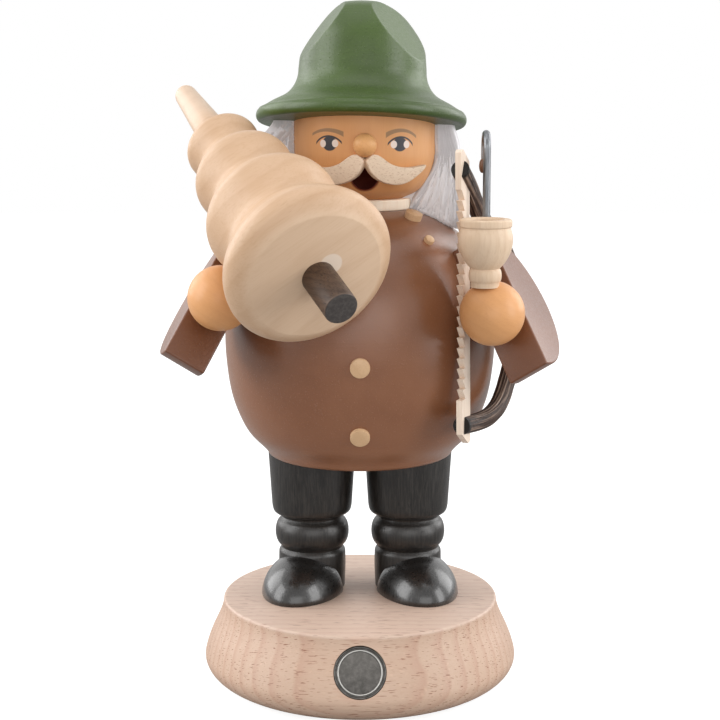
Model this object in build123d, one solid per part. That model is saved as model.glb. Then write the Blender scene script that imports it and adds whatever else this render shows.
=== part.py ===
from build123d import *
import os
from math import cos, pi, radians, sin

# A turned wooden incense smoker: a woodcutter who carries a tree, a bow saw and a pipe.
# Millimetres. The origin is the centre of the foot plate's underside, +Z is up and the
# figure looks along -Y. Its own right hand is on the -X side.

# Cuts and fits
overrun = 3.0                 # how far a cutting shape runs past the face that it cuts
lift_clearance = 0.08         # radial, between the seat plug and the hollow coat
dowel_gap = 0.4               # left at the blind end of a drilled hole

# Foot plate
plate_radius = 41.6
plate_top_radius = 36.5
plate_height = 22.6
plate_belly_height = 6.8
plate_belly_depth = 10.5      # how far the rounding runs in under the plate
plate_edge_round = 0.6
plate_flare_lean_share = 0.04  # slope of the flare where it meets the top edge
plate_flare_shares = ((0.94, 0.12), (0.62, 0.43), (0.18, 0.75))

# Badge let into the front of the foot plate
badge_radius = 6.5
badge_thickness = 1.6
badge_ring_width = 0.7
badge_ring_height = 0.35
badge_sink = 0.9              # how deep its face lies below the plate's flare
badge_height = 14.4
badge_tilt_angle = 24

# Legs, turned with their boots, and the glued toe caps
leg_spread = 13.0
leg_set_back = 7.5
leg_length = 37.7
leg_top_radius = 11.7
leg_knee_radius = 10.6
boot_ring_radius = 9.9
boot_ring_height = 7.2
boot_groove_radius = 8.3
boot_groove_height = 0.9
boot_radius = 9.0
boot_height = 10.9
toe_width = 21.8
toe_height = 10.4
toe_reach = 21.3              # from the leg's axis to the tip of the toe cap
toe_turn_angle = 13
toe_shift = 1.1                # outward from the boot's axis
leg_dowel_radius = 3.0
leg_dowel_length = 16.0

# Seat plug, ember tray and its tacks
plug_height = 8.0
plug_edge = 0.8
air_hole_radius = 1.9
air_hole_ring = 14.5
air_hole_count = 3
tray_radius = 10.5
tray_wall = 0.5
tray_rim_height = 2.6
tray_rim_flare = 1.2
tack_head_radius = 1.3
tack_head_height = 0.5
tack_shank_radius = 0.5
tack_length = 5.0
tack_ring = 7.4

# Coat: the hollow body
figure_set_back = 6.0
coat_radius = 35.7
coat_belly_height = 31.0      # from the coat's foot to its widest
coat_shoulder_height = 35.4
coat_neck_height = 34.2       # from the widest to the flat under the collar
coat_foot_radius = 24.5
coat_shoulder_power_share = 2.5
coat_belly_shares = ((0.814, 0.174), (0.896, 0.335), (0.951, 0.513), (0.987, 0.76))
coat_shoulder_steps_count = 7
coat_foot_lean_share = 0.55
coat_neck_lean_share = 0.06
bore_radius = 21.0
bore_depth = 48.0

# Studs in the coat
button_radius = 2.5
button_stand = 1.0
stud_sink = 1.5               # how deep each stud is let into the coat
stud_gap = 0.1                # left for glue under it
button_dome = 0.35
button_low_height = 71.1
button_pitch = 18.0
button_count = 3
collar_stud_radius = 2.25
collar_stud_stand = 1.7
collar_stud_ring = 18.2
collar_stud_angle = 47.7
lapel_stud_radius = 1.3
lapel_stud_stand = 1.1
lapel_stud_ring = 26.4
lapel_stud_angle = 40.7

# Collar and neck
neck_shift = 1.2              # the neck is bored this far to the figure's left
collar_radius = 12.4
collar_height = 2.9
collar_round = 0.4
neck_tenon_radius = 7.0
neck_tenon_length = 5.0
smoke_bore_radius = 4.5

# Head, nose, moustache and mouth
head_radius = 18.6
head_foot_radius = 10.7
head_height = 18.8            # from the collar to the middle of the hat's seat
head_jaw_height_share = 0.628
head_jaw_lean_share = 0.42
head_jaw_shares = ((0.49, 0.19), (0.785, 0.46), (0.955, 0.79))
mouth_radius = 3.35
mouth_height_share = 0.335    # above the collar, of the head's height, as the next four
smoke_bore_rise_share = 0.32  # how far the smoke bore runs above the mouth
nose_radius = 3.0
nose_height_share = 0.761
nose_sink = 1.7
nose_peg_radius = 1.1
nose_peg_length = 4.0
moustache_length = 16.9
moustache_height = 7.7
moustache_thickness = 2.6
moustache_stand = 1.3         # how far the middle of its front stands off the face
moustache_base_share = 0.229  # its lowest point above the collar
moustache_turn_angle = 24
moustache_parting = 0.25
moustache_upper_shares = ((0.02, 0.76), (0.13, 1.0), (0.235, 0.95), (0.38, 0.735), (0.57, 0.585),
                          (0.76, 0.56), (1.0, 0.64))
moustache_lower_shares = ((1.0, 0.64), (0.87, 0.31), (0.69, 0.07), (0.52, 0.0), (0.33, 0.07),
                          (0.13, 0.33), (0.02, 0.76))

# Hat
hat_shift = 0.3
hat_tilt_angle = -8.5
hat_lean_angle = 1.5
hat_turn_angle = -6
brim_radius = 27.4
brim_thickness = 3.3
brim_crease_radius = 26.5
crown_radius = 16.5
crown_height = 31.9
brim_lean_share = 0.5
crown_lean_share = 0.04
brim_flare_shares = ((0.72, 0.157), (0.31, 0.232), (0.10, 0.32), (0.02, 0.423))
crown_dome_shares = ((0.994, 0.545), (0.964, 0.674), (0.873, 0.803), (0.70, 0.915), (0.42, 0.981))
facet_azimuth_angle = 22
facet_slope_angle = 38.7
facet_radii = (10.95, 10.15)   # right, left: the two cuts are made by hand
facet_height = 24.8
hat_dowel_radius = 3.0
hat_dowel_length = 14.0

# Hair glued round the back of the head
hair_radius = 23.8
hair_length = 26.0
hair_shares = ((0.90, 0.0), (0.99, 0.10), (1.02, 0.28), (1.01, 0.47), (0.98, 0.67), (0.95, 1.0))
hair_front_gap = 0.4

# Arms: half discs with their flat side forward
arm_radii = (17.6, 19.0)      # right, left: each was sawn to fit what its hand carries
arm_thickness = 11.0
right_arm_place = (-35.55, -24.87, 104.37)
right_arm_angles = (-36.8, 23.3, 24.2)
left_arm_place = (34.3, -22.0, 103.3)
left_arm_angles = (-29.9, -21.3, -32.8)
arm_dowel_radius = 2.5
arm_dowel_length = 8.0
arm_dowel_rise = 9.0
arm_dowel_depth = 9.0

# Hands
hand_radius = 8.0
hand_stand = 7.5              # from the flat of the arm to the middle of the hand
hand_drops = (1.5, 3.4)       # right, left: from the middle of the arm's flat down to the hand
hand_out = 0.6
hand_dowel_radius = 2.0
hand_dowel_length = 9.0

# Pipe
pipe_forward = 2.1            # its axis, measured from the middle of the left hand
pipe_inward = 2.0
pipe_height = 15.2
pipe_rim_radius = 6.35
pipe_rim_height = 2.2
pipe_belly_radius = 6.6
pipe_belly_height = 10.2
pipe_neck_radius = 3.5
pipe_ring_radius = 3.95
pipe_ring_height = 3.2
pipe_swell_lean_share = 0.9
pipe_rim_lean_share = 0.35
pipe_bowl_radius = 4.3
pipe_bowl_depth = 5.6
pipe_tenon_radius = 1.6
pipe_tenon_length = 5.0
pipe_seat_drop = 1.3          # how far the neck reaches down round the top of the hand
stem_radius = 0.95
stem_gap = 0.35               # between the stem and the widest part of the bowl
stem_outward = 0.7
stem_height = 36.0            # from the pipe's foot to the top of the hook
stem_entry_height = 6.4
stem_bend = 2.6
stem_hook_radius = 3.4
stem_drop = 4.6
lesser_share = 0.01           # keeps a short straight run between two bends of the stem
mouthpiece_radius = 1.45
mouthpiece_length = 3.4

# Bow saw
saw_place = (23.49, -27.2, 105.45)   # the middle of the blade's front edge, level with the hand
saw_yaw_angle = 20
saw_lean_angle = -0.8         # its top leans towards the head
saw_width = 7.1
saw_thickness = 1.5
saw_length = 73.5
saw_cut_width = 5.2           # the slanted cuts at the top of its back and the foot of its front
saw_cut_height = 3.2
saw_nose = 0.9
tooth_count = 20
tooth_pitch = 2.6
tooth_depth = 2.4
tooth_first = 11.8            # from the blade's lower end to the lowest tooth
tooth_inset = 0.5
bow_radius = 2.25
bow_top_inset = 4.6           # from each end of the blade to the middle of the bow's slit end
bow_foot_inset = 5.1
bow_top_start = 1.5           # how far its ends lie behind the blade's front edge
bow_foot_start = 1.8
bow_route = ((28.0, -15.0), (31.4, -7.0), (36.2, -1.5), (39.6, 1.4),
             (41.2, 1.6), (38.3, -3.0), (32.8, -14.0), (28.8, -19.0))
bow_rise_shares = (0.337, 0.244, 0.157, 0.048, -0.142, -0.338, -0.431, -0.439)

# Tree carried over the right shoulder
tree_place = (-11.85, -53.3, 117.05)   # the middle of the widest ripple
tree_yaw_angle = 26.4
tree_rise_angle = 25.9
tree_length = 88.3
ripple_radii = (20.4, 16.6, 12.65, 9.45)
ripple_places = (0.0, 22.5, 41.5, 57.1)
ripple_waists = (14.6, 10.9, 7.9, 4.7)
waist_share = 0.58
tree_face_radius = 16.1
tree_face_depth = 4.9
tree_face_lean_share = 0.55
spike_radius = 4.25
spike_tip_radius = 2.95
spike_start = 6.4             # from the last ripple to the spike
trunk_radius = 4.0
trunk_stand = 13.3
trunk_shift = 0.5             # how far its hole is drilled off the middle
trunk_depth = 12.0
trunk_edge = 0.35
tree_peg_radius = 1.5
tree_peg_length = 9.0

# Heights that follow from the sizes above
coat_foot = plate_height + leg_length
coat_widest = coat_foot + coat_belly_height
collar_foot = coat_widest + coat_neck_height
head_foot = collar_foot + collar_height
hat_seat_height = head_foot + head_height
mouth_height = mouth_height_share * head_height
nose_height = nose_height_share * head_height
bore_top = coat_foot + bore_depth
plug_radius = bore_radius - lift_clearance

figure_axis = Pos(0, figure_set_back, 0)
neck_axis = Pos(neck_shift, figure_set_back, 0)


def turned(*edges):
    """A solid turned on a lathe, from an outline drawn as radius and height."""
    return revolve(Plane.XZ * make_face(Curve() + list(edges)), Axis.Z)


def rod(radius, length, foot=0):
    """A round rod that stands on the given height."""
    return Pos(0, 0, foot) * extrude(Circle(radius), length)


def coat_shoulder_radius(height):
    """Radius of the coat at a height above its widest place."""
    share = 1 - (height / coat_shoulder_height) ** coat_shoulder_power_share
    return coat_radius * share ** (1 / coat_shoulder_power_share)


def coat_shoulder_level(radius):
    """Height of the coat's shoulder over a ring of the given radius."""
    share = 1 - (radius / coat_radius) ** coat_shoulder_power_share
    return coat_widest + coat_shoulder_height * share ** (1 / coat_shoulder_power_share)


def coat_form():
    """The outside of the coat as a full solid."""
    belly = [(coat_foot_radius, coat_foot)]
    belly += [(coat_radius * out, coat_foot + coat_belly_height * up) for out, up in coat_belly_shares]
    belly += [(coat_radius, coat_widest)]
    steps = coat_shoulder_steps_count
    turn_top = [coat_neck_height * (1 - (1 - step / steps) ** 2) for step in range(steps + 1)]
    shoulder = [(coat_shoulder_radius(height), coat_widest + height) for height in turn_top]
    return figure_axis * turned(
        Line((0, coat_foot), belly[0]),
        Spline(*belly, tangents=[(coat_foot_lean_share, 1), (0, 1)]),
        Spline(*shoulder, tangents=[(0, 1), (-1, -coat_neck_lean_share)], tangent_scalars=[1, 1]),
        Line(shoulder[-1], (0, collar_foot)),
        Line((0, collar_foot), (0, coat_foot)),
    )


def coat_seat(ring, angle):
    """A plane that lies on the coat's shoulder, at a ring and an angle from the front."""
    height = coat_shoulder_level(ring)
    power = coat_shoulder_power_share - 1
    out = (ring / coat_radius) ** power / coat_radius
    up = ((height - coat_widest) / coat_shoulder_height) ** power / coat_shoulder_height
    side, front = sin(radians(angle)), cos(radians(angle))
    return Plane(
        origin=(ring * side, figure_set_back - ring * front, height),
        z_dir=(out * side, -out * front, up),
    )


def studs(seats, radius, stand):
    """Round-ended dowels that stand out of the coat, and the holes drilled for them."""
    stud = rod(radius, stud_sink + stand, -stud_sink)
    stud = fillet(stud.edges().sort_by(Axis.Z)[-1:], button_dome)
    hole = rod(radius, stud_sink + stud_gap + overrun, -stud_sink - stud_gap)
    return [seat * stud for seat in seats], [seat * hole for seat in seats]


def button_seats():
    """Planes on the coat's front, square to it, one for each button."""
    seats = []
    outline = coat_form()
    for number in range(button_count):
        height = button_low_height + number * button_pitch
        level = outline & Pos(0, 0, height) * Box(4 * coat_radius, 4 * coat_radius, dowel_gap)
        front = level.bounding_box().min.Y
        above = outline & Pos(0, 0, height + button_radius) * Box(4 * coat_radius, 4 * coat_radius, dowel_gap)
        slope = above.bounding_box().min.Y - front
        seats.append(Plane(origin=(0, front, height), x_dir=(1, 0, 0), z_dir=(0, -button_radius, slope)))
    return seats


def foot_plate_form():
    """Ogee outline of the foot plate, with its flat underside and broken top edge."""
    foot_radius = plate_radius - plate_belly_depth
    shoulder = plate_height - plate_edge_round
    rise = shoulder - plate_belly_height
    flare = plate_radius - plate_top_radius
    points = [(plate_radius, plate_belly_height)]
    for out, up in plate_flare_shares:
        points.append((plate_top_radius + flare * out, plate_belly_height + rise * up))
    points += [(plate_top_radius, shoulder)]
    corner = plate_top_radius - plate_edge_round
    return turned(
        Line((0, 0), (foot_radius, 0)),
        EllipticalCenterArc(
            (foot_radius, plate_belly_height), plate_belly_depth, plate_belly_height, start_angle=270
        ),
        Spline(*points, tangents=[(0, 1), (-plate_flare_lean_share, 1)]),
        Line((plate_top_radius, shoulder), (corner, plate_height)),
        Line((corner, plate_height), (0, plate_height)),
        Line((0, plate_height), (0, 0)),
    )


def badge_seat(plate):
    """Plane of the badge's back, sunk square into the plate's flare."""
    level = plate & Pos(0, 0, badge_height) * Box(4 * plate_radius, 4 * plate_radius, dowel_gap)
    front = level.bounding_box().min.Y
    tilt = radians(badge_tilt_angle)
    on_flare = Plane(origin=(0, front, badge_height), x_dir=(1, 0, 0), z_dir=(0, -cos(tilt), sin(tilt)))
    return on_flare * Pos(0, 0, -badge_sink - badge_thickness)


def make_badge(seat):
    """A plain round badge with a raised ring at its edge."""
    inner = badge_radius - badge_ring_width
    disc = rod(badge_radius, badge_thickness + badge_ring_height)
    hollow = rod(inner, badge_ring_height, badge_thickness)
    return seat * (disc - hollow)


def leg_places():
    return {"right": Pos(-leg_spread, leg_set_back, 0), "left": Pos(leg_spread, leg_set_back, 0)}


def leg_form():
    """Trouser leg, boot shaft ring and boot, turned in one piece."""
    boot_top = plate_height + boot_height
    ring_foot = boot_top + boot_groove_height
    ring_top = ring_foot + boot_ring_height
    knee = ring_top + boot_groove_height
    bulge = (boot_ring_radius, (ring_foot + ring_top) / 2)
    return turned(
        Line((0, plate_height), (boot_radius, plate_height)),
        Line((boot_radius, plate_height), (boot_radius, boot_top - boot_groove_height)),
        Line((boot_radius, boot_top - boot_groove_height), (boot_groove_radius, boot_top)),
        Line((boot_groove_radius, boot_top), (boot_groove_radius, ring_foot)),
        ThreePointArc((boot_groove_radius, ring_foot), bulge, (boot_groove_radius, ring_top)),
        Line((boot_groove_radius, ring_top), (boot_groove_radius, knee)),
        Line((boot_groove_radius, knee), (leg_knee_radius, knee + boot_groove_height)),
        Line((leg_knee_radius, knee + boot_groove_height), (leg_top_radius, coat_foot)),
        Line((leg_top_radius, coat_foot), (0, coat_foot)),
        Line((0, coat_foot), (0, plate_height)),
    )


def toe_form(side):
    """The toe cap: a quarter of an egg, hollowed to sit against the boot."""
    reach = toe_reach - boot_radius / 2
    dome = turned(
        Line((0, 0), (toe_width / 2, 0)),
        EllipticalCenterArc((0, 0), toe_width / 2, toe_height),
        Line((0, toe_height), (0, 0)),
    )
    cap = scale(dome, (1, 2 * reach / toe_width, 1)) & Pos(0, -reach, 0) * Box(
        2 * toe_width, 2 * reach, 2 * toe_height
    )
    turn = Rot(0, 0, side * toe_turn_angle)
    return Pos(side * toe_shift, 0, plate_height) * turn * Pos(0, -boot_radius / 2, 0) * cap


def make_stand():
    """Everything that stays standing when the figure is lifted off."""
    nodes = {}
    plate = foot_plate_form()
    seat = badge_seat(plate)
    plate -= seat * rod(badge_radius, badge_thickness + badge_sink + overrun)
    half_dowel = leg_dowel_length / 2
    dowels = []
    for side, name in ((-1, "right"), (1, "left")):
        place = leg_places()[name]
        leg = place * leg_form()
        boot = place * rod(boot_radius, boot_height, plate_height)
        toe = place * toe_form(side) - boot
        for joint in (plate_height, coat_foot):
            hole = place * rod(leg_dowel_radius, leg_dowel_length, joint - half_dowel)
            leg -= hole
            if joint == plate_height:
                plate -= hole
        low = rod(leg_dowel_radius, leg_dowel_length, plate_height - half_dowel)
        high = rod(leg_dowel_radius, half_dowel + plug_height / 2, coat_foot - half_dowel)
        dowels += [place * low, place * high]
        nodes[name + "_leg"] = leg
        nodes[name + "_toe_cap"] = toe
    nodes["foot_plate"] = plate
    nodes["badge"] = make_badge(seat)
    nodes["leg_dowels"] = Compound(children=dowels)
    nodes.update(make_fire_seat(dowels))
    return nodes


def make_fire_seat(dowels):
    """Seat plug with its air holes, the tin ember tray and the tacks that hold it."""
    plug = rod(plug_radius, plug_height, coat_foot)
    plug = figure_axis * chamfer(plug.edges().sort_by(Axis.Z)[-1:], plug_edge)
    for number in range(air_hole_count):
        turn = Rot(0, 0, 90 + number * 360 / air_hole_count)
        plug -= figure_axis * turn * Pos(air_hole_ring, 0, 0) * rod(
            air_hole_radius, plug_height + 2 * overrun, coat_foot - overrun
        )
    for dowel in dowels:
        plug -= dowel
    top = coat_foot + plug_height
    lip = tray_radius + tray_rim_flare
    tray = figure_axis * turned(
        Line((0, top), (tray_radius, top)),
        Line((tray_radius, top), (lip, top + tray_rim_height)),
        Line((lip, top + tray_rim_height), (lip - tray_wall, top + tray_rim_height)),
        Line((lip - tray_wall, top + tray_rim_height), (tray_radius - tray_wall, top + tray_wall)),
        Line((tray_radius - tray_wall, top + tray_wall), (0, top + tray_wall)),
        Line((0, top + tray_wall), (0, top)),
    )
    tacks = []
    for side in (-1, 1):
        place = figure_axis * Pos(side * tack_ring, 0, 0)
        shank = rod(tack_shank_radius, tack_length, top + tray_wall - tack_length)
        tack = place * (shank + rod(tack_head_radius, tack_head_height, top + tray_wall))
        plug -= place * shank
        tray -= place * shank
        tacks.append(tack)
    return {"seat_plug": plug, "ember_tray": tray, "tray_tacks": Compound(children=tacks)}


def smoke_bore(foot, top):
    return neck_axis * rod(smoke_bore_radius, top - foot, foot)


def make_collar():
    """Collar ring with a tenon below and above, bored for the smoke."""
    ring = rod(collar_radius, collar_height, collar_foot)
    ring = fillet(ring.edges().filter_by(GeomType.CIRCLE), collar_round)
    tenons = rod(neck_tenon_radius, collar_height + 2 * neck_tenon_length, collar_foot - neck_tenon_length)
    foot = collar_foot - neck_tenon_length - overrun
    return neck_axis * (ring + tenons) - smoke_bore(foot, head_foot + neck_tenon_length + overrun)


def neck_socket(foot):
    return neck_axis * rod(neck_tenon_radius, neck_tenon_length + dowel_gap, foot)


def hat_seat():
    """Plane under the brim, tilted back with the head's flat top."""
    turn = Rot(hat_tilt_angle, hat_lean_angle, hat_turn_angle)
    return Pos(hat_shift, figure_set_back, hat_seat_height) * turn


def above_hat_seat(size):
    return hat_seat() * Pos(0, 0, size) * Box(2 * size, 2 * size, 2 * size)


def head_form():
    """The head turned round with a soft jaw and cut flat under the hat."""
    jaw_height = head_jaw_height_share * head_height
    widest = head_foot + jaw_height
    top = hat_seat_height + head_radius
    swell = head_radius - head_foot_radius
    jaw = [(head_foot_radius, head_foot)]
    jaw += [(head_foot_radius + swell * out, head_foot + jaw_height * up) for out, up in head_jaw_shares]
    jaw += [(head_radius, widest)]
    head = neck_axis * turned(
        Line((0, head_foot), jaw[0]),
        Spline(*jaw, tangents=[(1, head_jaw_lean_share), (0, 1)]),
        Line((head_radius, widest), (head_radius, top)),
        Line((head_radius, top), (0, top)),
        Line((0, top), (0, head_foot)),
    )
    return head - above_hat_seat(2 * head_radius)


def front_rod(radius, height, foot, length):
    """A rod that points forward out of the head, from a distance off the neck's axis."""
    return neck_axis * Pos(0, -foot, head_foot + height) * Rot(90, 0, 0) * rod(radius, length)


def make_nose(head):
    """Ball nose with its peg."""
    middle = head_radius + nose_radius - nose_sink
    ball = neck_axis * Pos(0, -middle, head_foot + nose_height) * Sphere(nose_radius)
    peg = front_rod(nose_peg_radius, nose_height, head_radius - nose_peg_length, nose_peg_length)
    return (ball - head) + peg


def make_moustache(side, head, nose):
    """One half of the moustache, sawn flat and hollowed behind to the face."""
    def outline(shares):
        return [(side * (moustache_parting + moustache_length * along), moustache_height * up)
                for along, up in shares]
    upper = Spline(*outline(moustache_upper_shares))
    lower = Spline(*outline(moustache_lower_shares))
    face = make_face(Curve() + [upper, lower])
    plate = extrude(Plane.XZ * face, moustache_thickness)
    turn = side * moustache_turn_angle
    front = head_radius + moustache_stand
    reach = front * sin(radians(moustache_turn_angle)) / cos(radians(moustache_turn_angle))
    base = head_foot + moustache_base_share * head_height
    place = neck_axis * Pos(0, 0, base) * Rot(0, 0, turn)
    shift = Pos(-side * reach, -front + moustache_thickness, 0)
    size = 2 * head_radius
    across = neck_axis * Pos(-side * (size / 2 - moustache_parting), 0, head_foot) * Box(size, 2 * size, size)
    return place * shift * plate - head - across - nose


def make_head():
    """Head with nose, moustache, smoke bore and mouth."""
    head = head_form()
    nose = make_nose(head)
    moustache = {name: make_moustache(side, head, nose) for side, name in ((-1, "right"), (1, "left"))}
    bore_end = head_foot + mouth_height + smoke_bore_rise_share * head_height
    head -= smoke_bore(head_foot - overrun, bore_end)
    head -= front_rod(mouth_radius, mouth_height, 0, head_radius + overrun)
    head -= neck_socket(head_foot)
    head -= front_rod(nose_peg_radius, nose_height, head_radius - nose_peg_length - dowel_gap, head_radius)
    return head, nose, moustache


def hat_form():
    """Hat turned with a flared brim, then dented with two flat cuts on the crown's front."""
    edge = brim_radius - brim_crease_radius
    spread = brim_crease_radius - crown_radius
    flare = [(brim_crease_radius, brim_thickness)]
    flare += [(crown_radius + spread * out, crown_height * up) for out, up in brim_flare_shares]
    dome = [(crown_radius * out, crown_height * up) for out, up in crown_dome_shares]
    hat = turned(
        Line((0, 0), (brim_radius - edge, 0)),
        ThreePointArc((brim_radius - edge, 0), (brim_radius, brim_thickness / 2), flare[0]),
        Spline(*flare, tangents=[(-1, brim_lean_share), (-crown_lean_share, 1)]),
        Spline(flare[-1], *dome, (0, crown_height), tangents=[(-crown_lean_share, 1), (-1, 0)]),
        Line((0, crown_height), (0, 0)),
    )
    for side, radius in zip((-1, 1), facet_radii):
        turn = Rot(0, 0, -side * facet_azimuth_angle)
        tilt = Rot(0, -side * facet_slope_angle, 0)
        block = Pos(side * crown_radius, 0, 0) * Box(2 * crown_radius, 4 * crown_radius, 4 * crown_radius)
        hat -= turn * Pos(side * radius, 0, facet_height) * tilt * block
    return hat


def make_hat():
    hole = rod(hat_dowel_radius, hat_dowel_length, -hat_dowel_length / 2)
    return hat_seat() * (hat_form() - hole), hat_seat() * hole


def make_hair(head):
    """Closed form of the hair, from ear to ear round the back, down to the shoulders."""
    foot = hat_seat_height - hair_length
    points = [(hair_radius * out, foot + hair_length * up) for out, up in hair_shares]
    top = hat_seat_height + head_radius / 2
    rim = points[-1][0]
    form = neck_axis * turned(
        Line((0, foot), points[0]),
        Spline(*points),
        Line(points[-1], (rim, top)),
        Line((rim, top), (0, top)),
        Line((0, top), (0, foot)),
    )
    size = 4 * hair_radius
    face_side = neck_axis * Pos(0, hair_front_gap - size / 2, collar_foot) * Box(size, size, size)
    hair = form - face_side - above_hat_seat(2 * head_radius)
    hair -= neck_axis * rod(collar_radius, head_radius, collar_foot - collar_height)
    return hair - head - coat_form()


def arm_frame(place, angles):
    return Pos(*place) * Rot(*angles)


def arm_form(frame, radius):
    """A half disc with its flat side forward."""
    half = make_face(
        Curve() + [Line((-radius, 0), (radius, 0)), ThreePointArc((radius, 0), (0, radius), (-radius, 0))]
    )
    along = Plane(origin=(-arm_thickness / 2, 0, 0), x_dir=(0, 0, -1), z_dir=(1, 0, 0))
    plate = extrude(along * half, arm_thickness)
    return frame * plate


def arm_dowel_place(frame, side):
    """Where the arm's dowel runs, square to the arm, from the coat into the arm."""
    return frame * Pos(-side * arm_thickness / 2, arm_dowel_depth, arm_dowel_rise) * Rot(0, side * 90, 0)


def hand_middle(frame, side, drop):
    return frame * Pos(side * hand_out, -hand_stand, -drop)


def make_pipe(hand):
    """Pipe bowl with its tenon, the bent wire stem and the bead at its end."""
    foot = Pos(hand.position) * Pos(-pipe_inward, -pipe_forward, hand_radius)
    rim_foot = pipe_height - pipe_rim_height
    groove = pipe_belly_radius - pipe_rim_radius
    bowl = turned(
        Line((0, -pipe_seat_drop), (pipe_neck_radius, -pipe_seat_drop)),
        Line((pipe_neck_radius, -pipe_seat_drop), (pipe_neck_radius, 0)),
        ThreePointArc((pipe_neck_radius, 0), (pipe_ring_radius, pipe_ring_height / 2),
                      (pipe_neck_radius, pipe_ring_height)),
        Spline((pipe_neck_radius, pipe_ring_height), (pipe_belly_radius, pipe_belly_height),
               (pipe_rim_radius - groove, rim_foot),
               tangents=[(1, pipe_swell_lean_share), (-pipe_rim_lean_share, 1)]),
        Line((pipe_rim_radius - groove, rim_foot), (pipe_rim_radius, rim_foot + groove)),
        Line((pipe_rim_radius, rim_foot + groove), (pipe_rim_radius, pipe_height - groove)),
        Line((pipe_rim_radius, pipe_height - groove), (pipe_rim_radius - groove, pipe_height)),
        Line((pipe_rim_radius - groove, pipe_height), (0, pipe_height)),
        Line((0, pipe_height), (0, -pipe_seat_drop)),
    )
    bowl -= Pos(pipe_inward, pipe_forward, -hand_radius) * Sphere(hand_radius)
    tenon_foot = -pipe_tenon_length
    bowl += rod(pipe_tenon_radius, pipe_tenon_length + pipe_height - pipe_bowl_depth, tenon_foot)
    bowl -= rod(pipe_bowl_radius, pipe_bowl_depth + overrun, pipe_height - pipe_bowl_depth)

    back = pipe_belly_radius + stem_radius + stem_gap
    rise = stem_height - stem_radius - stem_hook_radius
    start = (0, back - stem_bend - pipe_bowl_radius, stem_entry_height)
    path = FilletPolyline(
        start,
        (0, back, stem_entry_height),
        (0, back, rise + stem_hook_radius),
        (0, back + 2 * stem_hook_radius, rise + stem_hook_radius),
        (0, back + 2 * stem_hook_radius, rise - stem_drop),
        radius=(stem_bend, stem_hook_radius * (1 - lesser_share), stem_hook_radius * (1 - lesser_share)),
    )
    stem = Pos(stem_outward, 0, 0) * sweep(Plane(path @ 0, z_dir=path % 0) * Circle(stem_radius), path)
    bead_foot = rise - stem_drop - mouthpiece_length / 2
    bead = Pos(stem_outward, back + 2 * stem_hook_radius, bead_foot) * turned(
        Line((0, 0), (stem_radius, 0)),
        ThreePointArc((stem_radius, 0), (mouthpiece_radius, mouthpiece_length / 2),
                      (stem_radius, mouthpiece_length)),
        Line((stem_radius, mouthpiece_length), (0, mouthpiece_length)),
        Line((0, mouthpiece_length), (0, 0)),
    )
    bowl -= stem
    bead -= stem
    hole_length = pipe_tenon_length + dowel_gap
    tenon_hole = rod(pipe_tenon_radius, hole_length + overrun, -hole_length)
    return foot * bowl, foot * stem, foot * bead, foot * tenon_hole


def saw_frame():
    """The blade's lower front corner: X across its faces, Y from teeth to back, Z up."""
    turn = Rot(0, saw_lean_angle, 0) * Rot(0, 0, -saw_yaw_angle)
    return Pos(*saw_place) * turn * Pos(0, 0, -saw_length / 2)


def make_blade():
    """Saw blade with its teeth raked downward and its ends cut off aslant."""
    edge = [(0, saw_cut_height), (0, tooth_first)]
    for number in range(tooth_count):
        foot = tooth_first + number * tooth_pitch
        edge += [(tooth_inset + tooth_depth, foot), (tooth_inset, foot + tooth_pitch)]
    last = tooth_first + tooth_count * tooth_pitch
    edge += [(0, last), (0, saw_length - saw_nose), (saw_nose, saw_length)]
    edge += [(saw_width - saw_cut_width, saw_length), (saw_width, saw_length - saw_cut_height)]
    edge += [(saw_width, saw_nose), (saw_width - saw_nose, 0), (saw_cut_width, 0)]
    side = Plane(origin=(0, 0, 0), x_dir=(0, 1, 0), z_dir=(1, 0, 0))
    return saw_frame() * extrude(side * make_face(Polyline(*edge, close=True)), saw_thickness)


def make_bow(blade):
    """Bent reed whose slit ends straddle the blade."""
    ends = ((saw_length - bow_top_inset, bow_top_start), (bow_foot_inset, bow_foot_start))
    first, last = [(saw_frame() * Pos(saw_thickness / 2, start, height)).position for height, start in ends]
    middle = saw_place[2]
    route = [Vector(*point, middle + saw_length * up) for point, up in zip(bow_route, bow_rise_shares)]
    path = Spline(first, *route, last)
    return sweep(Plane(path @ 0, z_dir=path % 0) * Circle(bow_radius), path) - blade


def tree_frame():
    """The widest ripple's middle, with Z along the tree towards its tip."""
    rise, yaw = radians(tree_rise_angle), radians(tree_yaw_angle)
    tip = (-cos(rise) * sin(yaw), cos(rise) * cos(yaw), sin(rise))
    return Plane(origin=tree_place, x_dir=(cos(yaw), sin(yaw), 0), z_dir=tip)


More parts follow.
